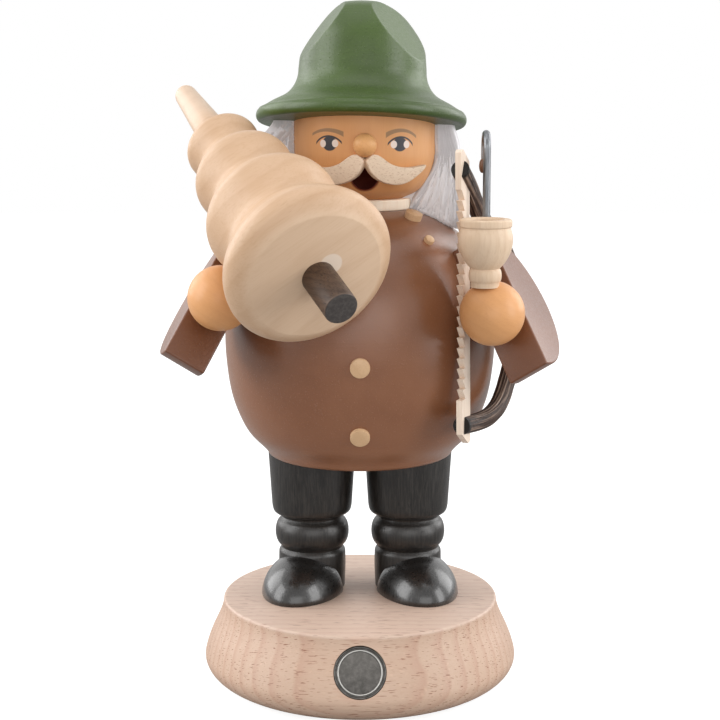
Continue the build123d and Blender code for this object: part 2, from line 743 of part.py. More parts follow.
def make_tree():
    """Stylised tree turned with four ripples and a spike, and its trunk dowel."""
    points = []
    places = list(ripple_places) + [ripple_places[-1] + spike_start / waist_share]
    for number, (radius, place, waist) in enumerate(zip(ripple_radii, ripple_places, ripple_waists)):
        points.append((radius, place))
        points.append((waist, place + (places[number + 1] - place) * waist_share))
    spike_foot = points[-1][1]
    points = points[:-1] + [(spike_radius, spike_foot)]
    tip_foot = tree_length - spike_tip_radius
    skirt = Spline(*points, tangents=[(0, 1), (spike_tip_radius - spike_radius, tip_foot - spike_foot)])
    tree = turned(
        Line((0, -tree_face_depth), (tree_face_radius, -tree_face_depth)),
        Spline((tree_face_radius, -tree_face_depth), points[0], tangents=[(1, tree_face_lean_share), (0, 1)]),
        skirt,
        Line((spike_radius, spike_foot), (spike_tip_radius, tip_foot)),
        ThreePointArc(
            (spike_tip_radius, tip_foot),
            (spike_tip_radius * cos(pi / 4), tip_foot + spike_tip_radius * sin(pi / 4)),
            (0, tree_length),
        ),
        Line((0, tree_length), (0, -tree_face_depth)),
    )
    trunk = rod(trunk_radius, trunk_depth + trunk_stand, -tree_face_depth - trunk_stand)
    trunk = chamfer(trunk.edges().sort_by(Axis.Z)[:1], trunk_edge)
    hole = rod(trunk_radius, trunk_depth + overrun, -tree_face_depth - overrun)
    aside = Pos(trunk_shift, 0, 0)
    tree -= aside * hole
    return tree_frame() * tree, tree_frame() * aside * trunk


def make_tree_peg(hand):
    """Peg from the middle of the right hand into the ripple that rests on it."""
    tree_axis = tree_frame()
    middle = hand.position
    along = (middle - tree_axis.origin).dot(tree_axis.z_dir)
    towards = tree_axis.origin + tree_axis.z_dir * along - middle
    start = middle + towards.normalized() * (hand_radius - tree_peg_length / 2)
    return Plane(origin=start, z_dir=towards) * rod(tree_peg_radius, tree_peg_length)


def make_figure():
    """The figure that lifts off: coat, head, hat, arms and what it carries."""
    nodes = {}
    coat = coat_form()
    outside = coat_form()
    coat -= figure_axis * rod(bore_radius, bore_depth + overrun, coat_foot - overrun)
    coat -= smoke_bore(bore_top - overrun, collar_foot + overrun)
    coat -= neck_socket(collar_foot - neck_tenon_length - dowel_gap)

    collar = make_collar()
    head, nose, moustache = make_head()
    hat, hat_dowel = make_hat()
    hair = make_hair(head_form())

    groups = {
        "coat_buttons": (button_seats(), button_radius, button_stand),
        "collar_studs": (
            [coat_seat(collar_stud_ring, side * collar_stud_angle) for side in (-1, 1)],
            collar_stud_radius, collar_stud_stand,
        ),
        "lapel_studs": (
            [coat_seat(lapel_stud_ring, side * lapel_stud_angle) for side in (-1, 1)],
            lapel_stud_radius, lapel_stud_stand,
        ),
    }
    for name, (seats, radius, stand) in groups.items():
        pieces, holes = studs(seats, radius, stand)
        nodes[name] = Compound(children=pieces)
        for hole in holes:
            coat -= hole

    arm_dowels, hand_dowels, hands = [], [], {}
    sides = zip(("right", "left"), (-1, 1), (right_arm_place, left_arm_place),
                (right_arm_angles, left_arm_angles), arm_radii, hand_drops)
    for name, side, place, angles, radius, drop in sides:
        frame = arm_frame(place, angles)
        arm = arm_form(frame, radius) - outside
        dowel = arm_dowel_place(frame, side) * rod(arm_dowel_radius, arm_dowel_length, -arm_dowel_length / 2)
        middle = hand_middle(frame, side, drop)
        peg_start = hand_stand - hand_dowel_length / 2
        peg = middle * Rot(-90, 0, 0) * rod(hand_dowel_radius, hand_dowel_length, peg_start)
        ball = middle * Sphere(hand_radius)
        ball = ball - arm_form(frame, radius) - peg
        coat -= dowel
        nodes[name + "_arm"] = arm - dowel - peg
        hands[name] = (middle, ball)
        arm_dowels.append(dowel)
        hand_dowels.append(peg)

    bowl, stem, bead, tenon_hole = make_pipe(hands["left"][0])
    blade = make_blade()
    bow = make_bow(blade)
    tree, trunk = make_tree()
    tree_peg = make_tree_peg(hands["right"][0])

    left_hand = hands["left"][1]
    nodes["left_hand"] = left_hand - tenon_hole - blade
    tree -= hands["right"][0] * Sphere(hand_radius)
    nodes["right_hand"] = hands["right"][1] - tree_peg
    nodes["tree"] = tree - tree_peg
    nodes["tree_trunk"] = trunk
    nodes["tree_peg"] = tree_peg
    nodes["pipe_bowl"] = bowl
    nodes["pipe_stem"] = stem
    nodes["pipe_mouthpiece"] = bead
    nodes["saw_blade"] = blade
    nodes["saw_bow"] = bow
    nodes["coat"] = coat
    nodes["collar"] = collar
    nodes["head"] = head - hat_dowel
    nodes["nose"] = nose
    nodes["right_moustache"] = moustache["right"]
    nodes["left_moustache"] = moustache["left"]
    nodes["hat"] = hat
    nodes["hat_dowel"] = hat_dowel
    nodes["hair"] = hair
    nodes["arm_dowels"] = Compound(children=arm_dowels)
    nodes["hand_dowels"] = Compound(children=hand_dowels)
    return nodes


if __name__ == "__main__":
    os.makedirs("parts", exist_ok=True)
    for node, shape in {**make_stand(), **make_figure()}.items():
        export_step(shape, "parts/" + node + ".step")
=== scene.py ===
import math

import bmesh
import bpy
import numpy as np
from mathutils import Matrix, Vector


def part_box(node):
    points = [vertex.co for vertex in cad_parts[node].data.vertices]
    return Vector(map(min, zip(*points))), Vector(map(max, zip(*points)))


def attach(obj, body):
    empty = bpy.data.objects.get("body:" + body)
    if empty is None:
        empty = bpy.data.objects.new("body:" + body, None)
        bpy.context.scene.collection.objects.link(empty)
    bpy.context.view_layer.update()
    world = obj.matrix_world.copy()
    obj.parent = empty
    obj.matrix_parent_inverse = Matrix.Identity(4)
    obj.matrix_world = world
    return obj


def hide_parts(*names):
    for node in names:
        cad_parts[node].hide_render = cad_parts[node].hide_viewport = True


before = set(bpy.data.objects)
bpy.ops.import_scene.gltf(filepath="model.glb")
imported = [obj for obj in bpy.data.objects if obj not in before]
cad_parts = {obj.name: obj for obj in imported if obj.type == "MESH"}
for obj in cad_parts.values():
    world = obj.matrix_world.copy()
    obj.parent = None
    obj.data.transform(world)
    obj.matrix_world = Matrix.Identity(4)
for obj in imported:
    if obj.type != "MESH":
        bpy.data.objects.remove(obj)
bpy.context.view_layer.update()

# Sizes are the maker's own millimetres, and one matrix turns a finished piece into metres.
# The figure looks along -Y, and its own right hand is on the -X side.
to_metres = Matrix.Scale(0.001, 4)
plate_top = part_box("foot_plate")[1][2] * 1000
coat_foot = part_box("coat")[0][2] * 1000
collar_foot = 125.5
head_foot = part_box("head")[0][2] * 1000
hat_seat_height = head_foot + 18.8
hair_foot = hat_seat_height - 26.0
set_back = 6.0
neck_shift = 1.2
both_sides = ((-1, "right"), (1, "left"))


# Lines and frames

def unit(vector):
    vector = np.array(vector, float)
    return vector / np.linalg.norm(vector)


def smooth(points, start, end, steps=8):
    """A smooth line through the points, which leaves and arrives along the given directions."""
    points = np.array(points, float)
    gaps = np.linalg.norm(np.diff(points, axis=0), axis=1)
    count = len(points)
    rows = np.eye(count)
    slopes = np.zeros(points.shape)
    slopes[0], slopes[-1] = unit(start), unit(end)
    for i in range(1, count - 1):
        before, after = gaps[i - 1], gaps[i]
        rows[i, i - 1:i + 2] = after, 2 * (before + after), before
        into, onward = points[i] - points[i - 1], points[i + 1] - points[i]
        slopes[i] = 3 * (after * into / before + before * onward / after)
    slopes = np.linalg.solve(rows, slopes)
    line = []
    for i, gap in enumerate(gaps):
        for step in range(steps):
            t = step / steps
            line.append(
                (1 + 2 * t) * (1 - t) ** 2 * points[i] + t * (1 - t) ** 2 * gap * slopes[i]
                + t * t * (3 - 2 * t) * points[i + 1] + t * t * (t - 1) * gap * slopes[i + 1]
            )
    return line + [points[-1]]


def eased(corners, steps=4):
    """A line of straight runs whose corners are rounded: each corner is (place, rounding)."""
    line = []
    for i, (corner, size) in enumerate(corners):
        corner = np.array(corner, float)
        if size == 0 or i in (0, len(corners) - 1):
            line.append(corner)
            continue
        back = np.array(corners[i - 1][0], float) - corner
        onward = np.array(corners[i + 1][0], float) - corner
        size = min(size, np.linalg.norm(back) / 2, np.linalg.norm(onward) / 2)
        start, end = corner + unit(back) * size, corner + unit(onward) * size
        for step in range(steps + 1):
            t = step / steps
            line.append((1 - t) ** 2 * start + 2 * t * (1 - t) * corner + t * t * end)
    return line


def arc(middle, across, up, first, last, steps):
    """Points on an ellipse's arc between two angles in degrees."""
    turns = np.radians(np.linspace(first, last, steps + 1))
    return [np.array((middle[0] + across * math.cos(t), middle[1] + up * math.sin(t))) for t in turns]


def bent(corners, bends, steps=10):
    """A wire's line: straight runs joined by round bends of the given radii."""
    line = [np.array(corners[0], float)]
    for i, radius in enumerate(bends, 1):
        corner = np.array(corners[i], float)
        back, onward = unit(np.array(corners[i - 1]) - corner), unit(np.array(corners[i + 1]) - corner)
        middle = corner + back * radius + onward * radius
        for turn in np.linspace(0, math.pi / 2, steps + 1):
            line.append(middle - onward * radius * math.cos(turn) - back * radius * math.sin(turn))
    return line + [np.array(corners[-1], float)]


def moved(x, y, z):
    return Matrix.Translation((x, y, z))


def rotated(degrees, axis):
    return Matrix.Rotation(math.radians(degrees), 4, axis)


def frame_at(place, turns):
    """A frame moved to a place and turned about its own X, Y and Z, in degrees."""
    matrix = Matrix.Translation(place)
    for turn, axis in zip(turns, "XYZ"):
        matrix = matrix @ rotated(turn, axis)
    return matrix


def paint(red, green, blue):
    """A colour as it is matched, made ready for a shader."""
    def linear(value):
        value /= 255
        return value / 12.92 if value <= 0.04045 else ((value + 0.055) / 1.055) ** 2.4
    return linear(red), linear(green), linear(blue), 1.0


# Nodes

def laid(operation, turned_round=False):
    """An arithmetic sign that lays a Math node between two values."""
    def sign(value, other):
        first, second = (other, value) if turned_round else (value, other)
        return value.bench.math(operation, first, second)
    return sign


class Value:
    """A node's result, which plain arithmetic can be done with."""

    def __init__(self, bench, socket):
        self.bench, self.socket = bench, socket

    __add__, __radd__ = laid("ADD"), laid("ADD", True)
    __sub__, __rsub__ = laid("SUBTRACT"), laid("SUBTRACT", True)
    __mul__, __truediv__, __pow__ = laid("MULTIPLY"), laid("DIVIDE"), laid("POWER")


class Bench:
    """Nodes laid out one after another, with links made as they are named."""

    def __init__(self, tree):
        self.tree = tree

    def link(self, value, socket):
        self.tree.links.new(value.socket, socket)

    def add(self, kind, inputs=None, **settings):
        node = self.tree.nodes.new(kind)
        for setting, value in settings.items():
            setattr(node, setting, value)
        for socket, value in (inputs or {}).items():
            if isinstance(value, Value):
                self.link(value, node.inputs[socket])
            else:
                node.inputs[socket].default_value = value
        return node

    def made(self, kind, inputs=None, out=0, **settings):
        return Value(self, self.add(kind, inputs, **settings).outputs[out])

    def math(self, operation, *values):
        return self.made("ShaderNodeMath", dict(enumerate(values)), operation=operation)

    def vector(self, operation, first, second):
        return self.made("ShaderNodeVectorMath", {0: first, 1: second}, operation=operation)

    def dot(self, first, second):
        return self.made("ShaderNodeVectorMath", {0: first, 1: tuple(second)}, 1, operation="DOT_PRODUCT")

    def distance(self, first, second):
        return self.made("ShaderNodeVectorMath", {0: first, 1: tuple(second)}, 1, operation="DISTANCE")

    def parts(self, vector):
        return [Value(self, socket) for socket in self.add("ShaderNodeSeparateXYZ", {0: vector}).outputs]

    def join(self, x=0.0, y=0.0, z=0.0):
        return self.made("ShaderNodeCombineXYZ", {0: x, 1: y, 2: z})

    def span(self, value, low, high, to_low=0.0, to_high=1.0, soft=True):
        """Spreads a value's range over another range, with soft ends."""
        values = {0: value, 1: low, 2: high, 3: to_low, 4: to_high}
        return self.made("ShaderNodeMapRange", values, interpolation_type="SMOOTHSTEP" if soft else "LINEAR")

    def noise(self, vector, scale=1.0, detail=2.0, roughness=0.5):
        values = {"Vector": vector, "Scale": scale, "Detail": detail, "Roughness": roughness}
        return self.made("ShaderNodeTexNoise", values, "Fac")

    def bearing(self, x, y):
        """The turn round the head's own axis, from the middle of the face towards the figure's left."""
        return self.math("ARCTAN2", x - neck_shift, set_back - y)


class Finish(Bench):
    """A finish laid over a piece, in millimetres of the piece's own coordinates."""

    def __init__(self, name, roughness=0.5, specular=0.5, metallic=0.0):
        self.material = bpy.data.materials.new(name)
        self.material.use_nodes = True
        super().__init__(self.material.node_tree)
        self.shader = self.tree.nodes["Principled BSDF"]
        self.set(Roughness=roughness, Specular_IOR_Level=specular, Metallic=metallic)
        place = self.made("ShaderNodeTexCoord", out="Object")
        self.place = self.made("ShaderNodeMapping", {"Vector": place, "Scale": (1000, 1000, 1000)})
        self.relief = None

    def set(self, **sockets):
        for socket, value in sockets.items():
            self.shader.inputs[socket.replace("_", " ")].default_value = value

    def attribute(self, name):
        return self.made("ShaderNodeAttribute", out="Fac", attribute_name=name)

    def along(self, rings, grain):
        """Coordinates across the growth rings, across the grain, and along it."""
        rings, grain = Vector(rings).normalized(), Vector(grain).normalized()
        return self.join(*[self.dot(self.place, axis) for axis in (rings, grain.cross(rings), grain)])

    def stretched(self, vector, x, y, z):
        return self.vector("MULTIPLY", vector, (x, y, z))

    def ramp(self, value, *stops):
        node = self.add("ShaderNodeValToRGB", {0: value})
        ramp = node.color_ramp
        while len(ramp.elements) < len(stops):
            ramp.elements.new(0.5)
        for element, (position, colour) in zip(ramp.elements, stops):
            element.position = position
            element.color = colour if isinstance(colour, tuple) else (colour, colour, colour, 1)
        return Value(self, node.outputs[0])

    def blend(self, share, under, over, mode="MIX"):
        return self.made("ShaderNodeMix", {0: share, 6: under, 7: over}, 2, data_type="RGBA", blend_type=mode)

    def dent(self, height, depth):
        """Adds relief, with the depth in millimetres between its low and high places."""
        values = {"Height": height, "Distance": depth / 1000, "Strength": 1.0}
        if self.relief is not None:
            values["Normal"] = self.relief
        self.relief = self.made("ShaderNodeBump", values)

    def done(self, colour, roughness=None):
        if roughness is not None:
            self.link(roughness, self.shader.inputs["Roughness"])
        self.link(colour, self.shader.inputs["Base Color"])
        if self.relief is not None:
            self.link(self.relief, self.shader.inputs["Normal"])
        return self.material


class Jig(Bench):
    """A geometry tree with named inputs, whose result becomes a plain mesh."""

    def __init__(self, name, **inputs):
        tree = bpy.data.node_groups.new(name, "GeometryNodeTree")
        super().__init__(tree)
        kinds = {"Geometry": "Geometry"} | inputs | {"Finish": "Material"}
        for label, kind in kinds.items():
            tree.interface.new_socket(name=label, in_out="INPUT", socket_type="NodeSocket" + kind)
        tree.interface.new_socket(name="Geometry", in_out="OUTPUT", socket_type="NodeSocketGeometry")
        self.given = {socket.name: Value(self, socket) for socket in tree.nodes.new("NodeGroupInput").outputs}

    def position(self):
        return self.made("GeometryNodeInputPosition")

    def named(self, name, kind="FLOAT"):
        return self.made("GeometryNodeInputNamedAttribute", {"Name": name}, "Attribute", data_type=kind)

    def marked(self, geometry, name, value, kind="FLOAT"):
        """Writes a value on every point under a name."""
        values = {"Geometry": geometry, "Name": name, "Value": value}
        return self.made("GeometryNodeStoreNamedAttribute", values, data_type=kind, domain="POINT")

    def placed(self, geometry, position):
        return self.made("GeometryNodeSetPosition", {"Geometry": geometry, "Position": position})

    def shifted(self, geometry, offset):
        return self.made("GeometryNodeSetPosition", {"Geometry": geometry, "Offset": offset})

    def merged(self, geometry, distance):
        return self.made("GeometryNodeMergeByDistance", {"Geometry": geometry, "Distance": distance})

    def close(self, geometry):
        loose = self.made("GeometryNodeRealizeInstances", {"Geometry": geometry})
        dressed = self.made("GeometryNodeSetMaterial", {"Geometry": loose, "Material": self.given["Finish"]})
        self.link(dressed, self.tree.nodes.new("NodeGroupOutput").inputs[0])
        return self

    def cut(self, name, blank, finish, matrix=None, sharp=35, **sizes):
        """Runs the tree on a blank mesh and returns the result as a finished object."""
        blank.name = name
        blank_piece = bpy.data.objects.new(name, blank)
        bpy.context.scene.collection.objects.link(blank_piece)
        modifier = blank_piece.modifiers.new("jig", "NODES")
        modifier.node_group = self.tree
        sizes["Finish"] = finish
        for item in self.tree.interface.items_tree:
            if item.in_out == "INPUT" and item.name in sizes:
                modifier[item.identifier] = sizes[item.name]
        graph = bpy.context.evaluated_depsgraph_get()
        mesh = bpy.data.meshes.new_from_object(blank_piece.evaluated_get(graph), depsgraph=graph)
        blank_piece.modifiers.remove(modifier)
        bpy.data.objects.remove(blank_piece)
        return finished(name, mesh, finish, matrix, sharp)


# Benchwork on meshes

def creased(piece, sharp):
    piece.data.set_sharp_from_angle(angle=math.radians(sharp))


def finished(name, mesh, finish, matrix=None, sharp=35):
    """Turns a mesh in millimetres into a finished piece in metres, with its faces outward."""
    work = bmesh.new()
    work.from_mesh(mesh)
    bmesh.ops.remove_doubles(work, verts=work.verts, dist=1e-4)
    bmesh.ops.transform(work, matrix=to_metres @ (matrix or Matrix.Identity(4)), verts=work.verts)
    bmesh.ops.recalc_face_normals(work, faces=work.faces)
    for face in work.faces:
        face.smooth = True
    work.to_mesh(mesh)
    work.free()
    mesh.materials.clear()
    mesh.materials.append(finish)
    mesh.name = name
    piece = bpy.data.objects.new(name, mesh)
    creased(piece, sharp)
    bpy.context.scene.collection.objects.link(piece)
    return piece


def seat(piece, body, slot, *nodes):
    """Puts a finished piece on its body, in place of the nodes that it stands for."""
    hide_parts(*nodes)
    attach(piece, body)


def mesh_of(points, faces=(), edges=()):
    mesh = bpy.data.meshes.new("blank")
    mesh.from_pydata([tuple(point) for point in points], list(edges), list(faces))
    return mesh


def pushed_up(work, faces, way):
    """Gives flat faces a thickness along one way."""
    pushed = bmesh.ops.extrude_face_region(work, geom=faces)
    corners = [item for item in pushed["geom"] if isinstance(item, bmesh.types.BMVert)]
    bmesh.ops.translate(work, vec=Vector(way), verts=corners)
    bmesh.ops.recalc_face_normals(work, faces=work.faces)


def eased_edges(work, edges, rounding, segments):
    bmesh.ops.bevel(work, geom=edges, offset=rounding, segments=segments, profile=0.5, affect="EDGES",
                    clamp_overlap=True)


def sawn(name, outline, thickness, finish, matrix, rounding):
    """A piece sawn from a board: an outline with a thickness, its edges eased."""
    work = bmesh.new()
    face = work.faces.new([work.verts.new(point) for point in outline])
    face.normal_update()
    pushed_up(work, [face], thickness)
    edges = [edge for edge in work.edges if edge.calc_face_angle(0) > math.radians(40)]
    eased_edges(work, edges, rounding, 3)
    mesh = bpy.data.meshes.new(name)
    work.to_mesh(mesh)
    work.free()
    return finished(name, mesh, finish, matrix)


def pressed_flat(piece, place, outward, rounding=0.5, lowest=-1.0):
    """Pushes what stands beyond a plane, above a height, back onto it, with a slightly rounded edge."""
    place, outward = np.array(place) / 1000, unit(outward)
    rounding /= 1000
    points = np.empty(len(piece.data.vertices) * 3)
    piece.data.vertices.foreach_get("co", points)
    points = points.reshape(-1, 3)
    beyond = (points - place) @ outward
    bend = np.clip((beyond + rounding) / (2 * rounding), 0, 1)
    kept = np.where(beyond > rounding, 0, beyond - bend * bend * rounding)
    kept = np.where(points[:, 2] * 1000 > lowest, kept, beyond)
    points += np.outer(kept - beyond, outward)
    piece.data.vertices.foreach_set("co", points.ravel())
    piece.data.update()
    creased(piece, 35)


def drilled(piece, tool, sharp):
    """Takes the tool's shape out of the piece and throws the tool away."""
    cut = piece.modifiers.new("cut", "BOOLEAN")
    cut.operation = "DIFFERENCE"
    cut.solver = "EXACT"
    cut.object = tool
    graph = bpy.context.evaluated_depsgraph_get()
    mesh = bpy.data.meshes.new_from_object(piece.evaluated_get(graph), depsgraph=graph)
    piece.modifiers.remove(cut)
    mesh.name = piece.name
    piece.data = mesh
    bpy.data.objects.remove(tool)
    creased(piece, sharp)


# The lathe

def make_lathe():
    """Turns an outline, drawn as radius and height, into a closed round piece."""
    jig = Jig("turned on the lathe", Points="Int", Turns="Int")
    points, turns = jig.given["Points"], jig.given["Turns"]
    blank = jig.made("GeometryNodeMeshGrid", {"Size X": 1.0, "Size Y": 1.0, "Vertices X": turns + 1.0,
                                              "Vertices Y": points})
    index = jig.made("GeometryNodeInputIndex")
    step = jig.math("FLOOR", (index + 0.5) / points)
    outline = jig.made(
        "GeometryNodeSampleIndex",
        {"Geometry": jig.given["Geometry"], "Value": jig.position(), "Index": index - step * points},
        data_type="FLOAT_VECTOR", domain="POINT",
    )
    radius, height = jig.parts(outline)[::2]
    turn = step * (2 * math.pi) / turns
    place = jig.join(radius * jig.math("COSINE", turn), radius * jig.math("SINE", turn), height)
    return jig.close(jig.merged(jig.placed(blank, place), 0.0002))


lathe = make_lathe()


def turned(name, outline, finish, matrix=None, turns=128, sharp=35):
    points = [(radius, 0, height) for radius, height in outline]
    return lathe.cut(name, mesh_of(points), finish, matrix, sharp, Points=len(points), Turns=turns)


# Bare wood, lacquers and stains

def wood(name, tones, rings, grain, ring_width=2.4, contrast=0.5, pores=0.5, pore_size=(0.22, 3.0),
         pore_share=0.66, roughness=0.5, streak=0.5, waver=0.6, bend=0.0):
    """Bare or stained wood: growth rings, fine fibres and short dark pores."""
    finish = Finish(name, roughness, 0.35)
    ring, between, dark, pore = [paint(*tone) for tone in tones]
    place = finish.along(rings, grain)
    across, side = finish.parts(place)[:2]
    slow = finish.noise(finish.stretched(place, 0.06, 0.06, 0.02), detail=3)
    year = finish.math("FRACT", (across + side * side * bend) / ring_width + slow * (waver * 4))
    late = finish.ramp(year, (0.0, 0.0), (0.45, 0.12), (0.86, 1.0), (1.0, 0.0))
    colour = finish.blend(late * contrast, between, ring)
    fibres = finish.noise(finish.stretched(place, 2.6, 2.6, 0.13), detail=4, roughness=0.6)
    broad = finish.noise(finish.stretched(place, 0.35, 0.35, 0.03), detail=2)
    colour = finish.blend(finish.span(fibres, 0.45, 0.75, 0.0, streak), colour, dark)
    colour = finish.blend(finish.span(broad, 0.4, 0.75, 0.0, streak * 0.6), colour, dark)
    thin, long = pore_size
    spots = finish.noise(finish.stretched(place, 1 / thin / 2, 1 / thin / 2, 1 / long / 1.4), detail=1)
    spots = finish.span(spots, pore_share, pore_share + 0.08, 0.0, pores)
    colour = finish.blend(spots, colour, pore)
    finish.dent(fibres, 0.03)
    finish.dent(spots, -0.04)
    rough = finish.span(fibres, 0.3, 0.8, roughness - 0.06, roughness + 0.08)
    return finish, colour, rough


beech_tones = ((181, 140, 119), (199, 171, 150), (187, 149, 128), (134, 91, 69))
skin_tones = ((208, 150, 98), (218, 160, 107), (198, 136, 86), (172, 112, 70))


def beech_plate():
    """Steamed beech: rings that lean back through the plate and dark flecks along its grain."""
    rings, grain = (0, 0.94, -0.34), (1, 0, 0)
    finish, colour, rough = wood("oiled_beech", beech_tones, rings, grain, ring_width=3.1, pores=0.0,
                                 roughness=0.46, streak=0.30, waver=0.16, bend=0.0012)
    place = finish.along(rings, grain)
    flecks = finish.noise(finish.stretched(place, 1.3, 4.6, 0.24), detail=1)
    colour = finish.blend(finish.span(flecks, 0.64, 0.70, 0.0, 0.8), colour, paint(128, 78, 52))
    glints = finish.noise(finish.stretched(place, 2.5, 1.2, 0.16), detail=1)
    colour = finish.blend(finish.span(glints, 0.60, 0.78, 0.0, 0.15), colour, paint(238, 208, 178))
    # Painted light: the plate's top face is screened lighter, standing in for the light that falls on it.
    level = finish.parts(finish.place)[2]
    colour = finish.blend(finish.span(level, 21.4, 22.6), colour, paint(116, 106, 102), "SCREEN")
    return finish.done(colour, rough)


def pale_wood(name, tones, grain=(0, 0, 1), rings=(0.8, 0.6, 0), **sizes):
    sizes = {"ring_width": 3.4, "contrast": 0.4, "pores": 0.10, "roughness": 0.42, "streak": 0.35} | sizes
    finish, colour, rough = wood(name, tones, rings, grain, **sizes)
    return finish.done(colour, rough)


def lacquer(name, colour, light, dark, roughness, relief, gloss):
    """Sprayed colour lacquer over turned wood: soft mottling, dust nibs and faint lathe lines."""
    finish = Finish(name, roughness, 0.45)
    finish.set(Coat_Weight=gloss, Coat_Roughness=0.28)
    soft = finish.noise(finish.place, 0.05, detail=3)
    fine = finish.noise(finish.place, 1.6, detail=3, roughness=0.7)
    base = finish.blend(finish.span(soft, 0.35, 0.65), paint(*dark), paint(*colour))
    base = finish.blend(finish.span(fine, 0.5, 0.8, 0.0, 0.35), base, paint(*light))
    nibs = finish.span(finish.noise(finish.place, 2.4, detail=0), 0.72, 0.80)
    lines = finish.noise(finish.join(finish.parts(finish.place)[2]), 2.2, detail=2)
    finish.dent(fine, relief)
    finish.dent(lines, relief * 1.4)
    finish.dent(nibs, relief * 2)
    base = finish.blend(nibs * 0.3, base, paint(*light))
    return finish.done(base, finish.span(fine, 0.3, 0.7, roughness - 0.05, roughness + 0.07))


def black_stain(name, tones, smoothest, roughest, wax=0.0):
    """Near-black stain that lets the grain show in the light."""
    finish = Finish(name, 0.42, 0.5)
    finish.set(Coat_Weight=wax, Coat_Roughness=0.16)
    place = finish.along((0.3, 0.95, 0), (0, 0, 1))
    fibres = finish.noise(finish.stretched(place, 2.4, 2.4, 0.10), detail=4, roughness=0.65)
    pores = finish.span(finish.noise(finish.stretched(place, 2.2, 2.2, 0.35), detail=1), 0.60, 0.72)
    colour = finish.blend(finish.span(fibres, 0.35, 0.75), *(paint(*tone) for tone in tones))
    colour = finish.blend(pores * 0.7, colour, paint(16, 14, 13))
    finish.dent(fibres, 0.05)
    finish.dent(pores, -0.015)
    return finish.done(colour, finish.span(fibres, 0.3, 0.75, smoothest, roughest))


def metal(name, dark, light, roughness, scale=0.6, stretch=(1, 1, 1), relief=0.02):
    finish = Finish(name, roughness, 0.5, 1.0)
    cloud = finish.noise(finish.stretched(finish.place, *stretch), scale, detail=4, roughness=0.65)
    colour = finish.blend(finish.span(cloud, 0.35, 0.7), paint(*dark), paint(*light))
    finish.dent(cloud, relief)
    return finish.done(colour, finish.span(cloud, 0.3, 0.7, roughness - 0.06, roughness + 0.1))


def reed():
    """Dark reed bark with paler ridges along the bend; both ends are black."""
    finish = Finish("reed_bark", 0.62, 0.3)
    run, ridge = finish.attribute("run"), finish.attribute("ridge")
    fine = finish.noise(finish.place, 1.5, detail=4, roughness=0.7)
    stops = ((0.38, paint(30, 23, 20)), (0.50, paint(70, 53, 45)), (0.62, paint(146, 124, 108)))
    colour = finish.ramp(ridge, *stops)
    colour = finish.blend(finish.span(fine, 0.5, 0.8, 0.0, 0.5), colour, paint(52, 40, 34))
    # The bark turns black near each end, over about the last hundredth of its length.
    away_from_ends = finish.span(run, 0.006, 0.016) * finish.span(run, 0.984, 0.994, 1.0, 0.0)
    colour = finish.blend(away_from_ends, paint(26, 23, 22), colour)
    finish.dent(fine, 0.08)
    return finish.done(colour, finish.span(fine, 0.3, 0.8, 0.5, 0.75))


def fur(name, root, tip):
    """Fine white fur, greyer at its roots; a faint glow stands in for light coming through it."""
    finish = Finish(name, 0.55, 0.35)
    finish.set(Sheen_Weight=0.25, Sheen_Roughness=0.4)
    finish.set(Emission_Color=(1.0, 0.96, 0.94, 1), Emission_Strength=0.15)
    run, lot = finish.attribute("run"), finish.attribute("lot")
    strands = finish.noise(finish.stretched(finish.place, 3.0, 3.0, 0.2), detail=2)
    colour = finish.blend(finish.span(run, 0.0, 0.6), paint(*root), paint(*tip))
    colour = finish.blend(finish.span(lot, 0.55, 1.0, 0.0, 0.75, soft=False), colour, paint(168, 162, 165))
    colour = finish.blend(finish.span(strands, 0.4, 0.75, 0.0, 0.2), colour, paint(216, 212, 214))
    finish.dent(strands, 0.05)
    return finish.done(colour, finish.span(strands, 0.3, 0.7, 0.5, 0.62))


# Camera, first of all

camera_data = bpy.data.cameras.new("viewpoint")
camera_data.lens = 84.25
camera_data.sensor_width = 36
camera = bpy.data.objects.new("viewpoint", camera_data)
camera.location = (0, -0.4367, 0.1607)
camera.rotation_euler = (math.radians(80.3), 0, 0)
bpy.context.scene.collection.objects.link(camera)
bpy.context.scene.camera = camera

# Foot plate

beech = beech_plate()
flare = [(41.6, 6.8), (41.3, 8.6), (39.66, 13.3), (37.42, 18.2), (36.5, 21.9)]
foot_plate_outline = (
    [(0, 0), (30.4, 0)] + arc((31.1, 6.8), 10.5, 6.8, -90, 0, 14)
    + smooth(flare, (0, 1), (-0.06, 1))[1:] + arc((35.8, 21.9), 0.7, 0.7, 0, 90, 5) + [(0, plate_top)]
)
foot_plate = turned("foot_plate_turned", foot_plate_outline, beech, turns=192)

# Badge

badge_lean, badge_radius, badge_back, badge_face = 24, 6.5, -0.97, 0.98
badge_out = Vector((0, -math.cos(math.radians(badge_lean)), math.sin(math.radians(badge_lean))))
badge_middle = Vector([(low + high) * 500 for low, high in zip(*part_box("badge"))])
badge_frame = Matrix.Translation(badge_middle) @ rotated(90 - badge_lean, "X")


def struck_pewter():
    """Darkened pewter, its raised ring rubbed bright."""
    finish = Finish("aged_pewter", 0.34, 0.5, 1.0)
    cloud = finish.noise(finish.place, 0.7, detail=4, roughness=0.65)
    colour = finish.blend(finish.span(cloud, 0.35, 0.7), paint(74, 72, 69), paint(96, 93, 90))
    whole = finish.distance(finish.place, badge_middle)
    level = finish.dot(finish.place, badge_out) - badge_middle.dot(badge_out)
    reach = (whole * whole - level * level) ** 0.5
    rubbed = finish.span(level, 0.72, 0.86) * finish.span(reach, 5.75, 5.95, 1.0, 0.0)
    colour = finish.blend(rubbed, colour, paint(158, 156, 152))
    finish.dent(cloud, 0.006)
    return finish.done(colour, finish.span(cloud, 0.3, 0.7, 0.28, 0.44))


